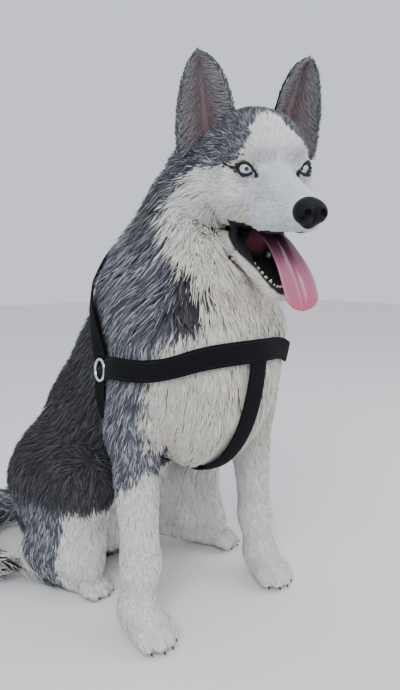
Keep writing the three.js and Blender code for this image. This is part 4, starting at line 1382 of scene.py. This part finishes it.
def tuft_spacing(factor):
    """How far apart the tufts are: the width that the guides give them, times the factor."""

    def spacing(p):
        wide = guided(p, GUIDE_COAT[:, 2:3], head_share_at(p))[:, 0]
        return wide.astype(float) * factor

    return spacing


def form_of(p):
    """The nearest form: 0 the head, 1 the trunk and neck, 2 to 5 the legs and 6 the tail."""
    p = p.astype(np.float32)
    return np.argmin([head_outline(p), trunk_and_neck(p), *[leg(p) for leg in legs], tail_form(p)], 0)


def hairy_head(p):
    return hairy(p) & (head_side(p) > -1)


def hairy_body(p):
    return hairy(p) & (head_side(p) < 1)


# The coat of each form is unwrapped round a line through its middle
HEAD_LINE = to_dog(np.array([(0, 150, -40), (0, 60, 5), (0, 0, -20), (0, -90, -50)], float))
TRUNK_LINE = [(-50, 260, 40), (-40, 200, 160), (-20, 110, 300), (-10, 10, 430), (4, -20, 560)]
head_roots = roots_on(head_points, head_quads, hairy_head, tuft_spacing(1.0), 1)
dress("coat_head", head_roots, HEAD_LINE, head_lattice, 3, 11)
body_roots = roots_on(body_points, body_quads, hairy_body, tuft_spacing(1.17), 2)
part = form_of(body_roots)
dress("coat_trunk", body_roots[part <= 1], TRUNK_LINE, body_lattice, 3, 12)
LEG_LINES = [
    *[[SHOULDER[s], ELBOW[s], WRIST[s], FORE_PAW[s]] for s in SHOULDER],
    *[[HIP[s], KNEE[s], HOCK[s], HIND_PAW[s]] for s in HIP],
]
for i, name in enumerate(("foreleg_right", "foreleg_left", "hindleg_right", "hindleg_left")):
    dress("coat_" + name, body_roots[part == 2 + i], LEG_LINES[i], body_lattice, 3, 13 + i)
dress("coat_tail", body_roots[part == 6], tail_line, body_lattice, 4, 17)

# Hair on the ears is short and dark on the back and the rims, and longer and pale inside,
# where it grows from both edges over the bare skin; towards the middle of the cup it is painted
# darker as shade. Each kind has its number of tufts, their length and width, how far off the
# shell they start, their lean across it and their rise.
EAR_HAIR = {
    "back": (2600, 9, 1.5, -1.6, 0.10, 1.4),
    "rim": (1900, 9, 1.3, 0.4, 0.0, 1.0),
    "inside": (2500, 13, 1.2, 1.0, -0.30, 1.8),
}
EAR_HAIR_SHADED = np.array([0.14, 0.105, 0.115])
EAR_HAIR_PALE = np.array([0.21, 0.20, 0.21])


def ear_coat(side, name):
    rng = np.random.default_rng(31 + side)
    rings, wide, across, up, roots, tips, place = [], [], [], [], [], [], []
    for kind, (count, length, width, face, lean, rise) in EAR_HAIR.items():
        v = rng.random(count) ** 0.8 * 0.95
        u = rng.uniform(-1, 1, count)
        if kind == "rim":
            u = np.sign(u) * rng.uniform(0.88, 1.0, count)
        if kind == "inside":
            u = np.sign(u) * (1 - 0.8 * rng.random(count) ** 1.1)
        start = ear_point(side, u, v, face)
        to_tip = ear_point(side, u * (1 + lean), np.minimum(v + 0.05, 1.04), face) - start
        way = unit(to_tip + 1e-6) + rng.normal(0, 0.12, (count, 3))
        out = unit(ear_point(side, u, v, face + np.sign(face)) - start)
        edge = unit(ear_point(side, u * 1.05, v, face) - start + 1e-6)
        if kind == "rim":
            way = way + 0.45 * edge
        far = length * rng.uniform(0.7, 1.15, count) * (1 - 0.35 * v)
        for t in (0, 0.5, 1):
            off = rise * t * rng.uniform(0.5, 1, count)
            rings.append(start + unit(way) * (far * t)[:, None] + out * off[:, None])
        wide.append(np.full(count, width))
        across.append(unit(np.cross(unit(way), out)))
        up.append(out)
        shade = rng.uniform(0.8, 1.15, (count, 1))
        if kind == "inside":
            # Painted shade: the inside hair darkens towards the middle of the cup
            hue = mix(EAR_HAIR_SHADED, EAR_HAIR_PALE, ramp(np.abs(u), 0.3, 0.8))
        else:
            flecked = (rng.random(count) < 0.25) * 0.5
            hue = mix(GREY * 0.8, PALE_GREY, flecked)
        # The root of each tuft is painted darker, as shade deep in the hair
        roots.append(hue * shade * 0.8)
        tips.append(hue * shade)
        place.append(np.stack([0.25 + 0.24 * u + (0.5 if kind == "inside" else 0), 0.05 + 0.9 * v], 1))
    rings = np.concatenate([np.stack(rings[k : k + 3], 1) for k in (0, 3, 6)])
    all_kinds = [np.concatenate(part) for part in (wide, across, up, roots, tips, place)]
    wide, across, up, roots, tips, place = all_kinds
    tuft_mesh(name, rings, wide, across, up, (roots, tips), place)


ear_coat(-1, "coat_ear_right")
ear_coat(1, "coat_ear_left")

# The studio has a plain pale floor under a bright, even, slightly blue sky. Two large soft
# lights stand in front of the dog: the stronger on its right, the weaker on its left.
floor_data = bpy.data.meshes.new("floor")
floor_data.from_pydata([(-6, -6, 0), (6, -6, 0), (6, 6, 0), (-6, 6, 0)], [], [(0, 1, 2, 3)])
floor = bpy.data.objects.new("floor", floor_data)
bpy.context.scene.collection.objects.link(floor)
floor.data.materials.append(surface_material("floor", (0.8, 0.8, 0.79), 0.9))
world = bpy.data.worlds.new("studio")
world.use_nodes = True
sky = world.node_tree.nodes["Background"]
sky.inputs["Color"].default_value = (0.86, 0.9, 1.0, 1)
sky.inputs["Strength"].default_value = 1.0
bpy.context.scene.world = world
LIGHTS_AIM_AT = Vector((0, 0, 0.35))


def soft_light(name, place, size, watts):
    data = bpy.data.lights.new(name, "AREA")
    data.energy = watts
    data.size = size
    made = bpy.data.objects.new(name, data)
    made.location = place
    made.rotation_euler = (LIGHTS_AIM_AT - Vector(place)).to_track_quat("-Z", "Y").to_euler()
    bpy.context.scene.collection.objects.link(made)


soft_light("key", (-1.6, -1.6, 2.2), 1.4, 55)
soft_light("fill", (1.6, -1.2, 1.4), 1.6, 18)
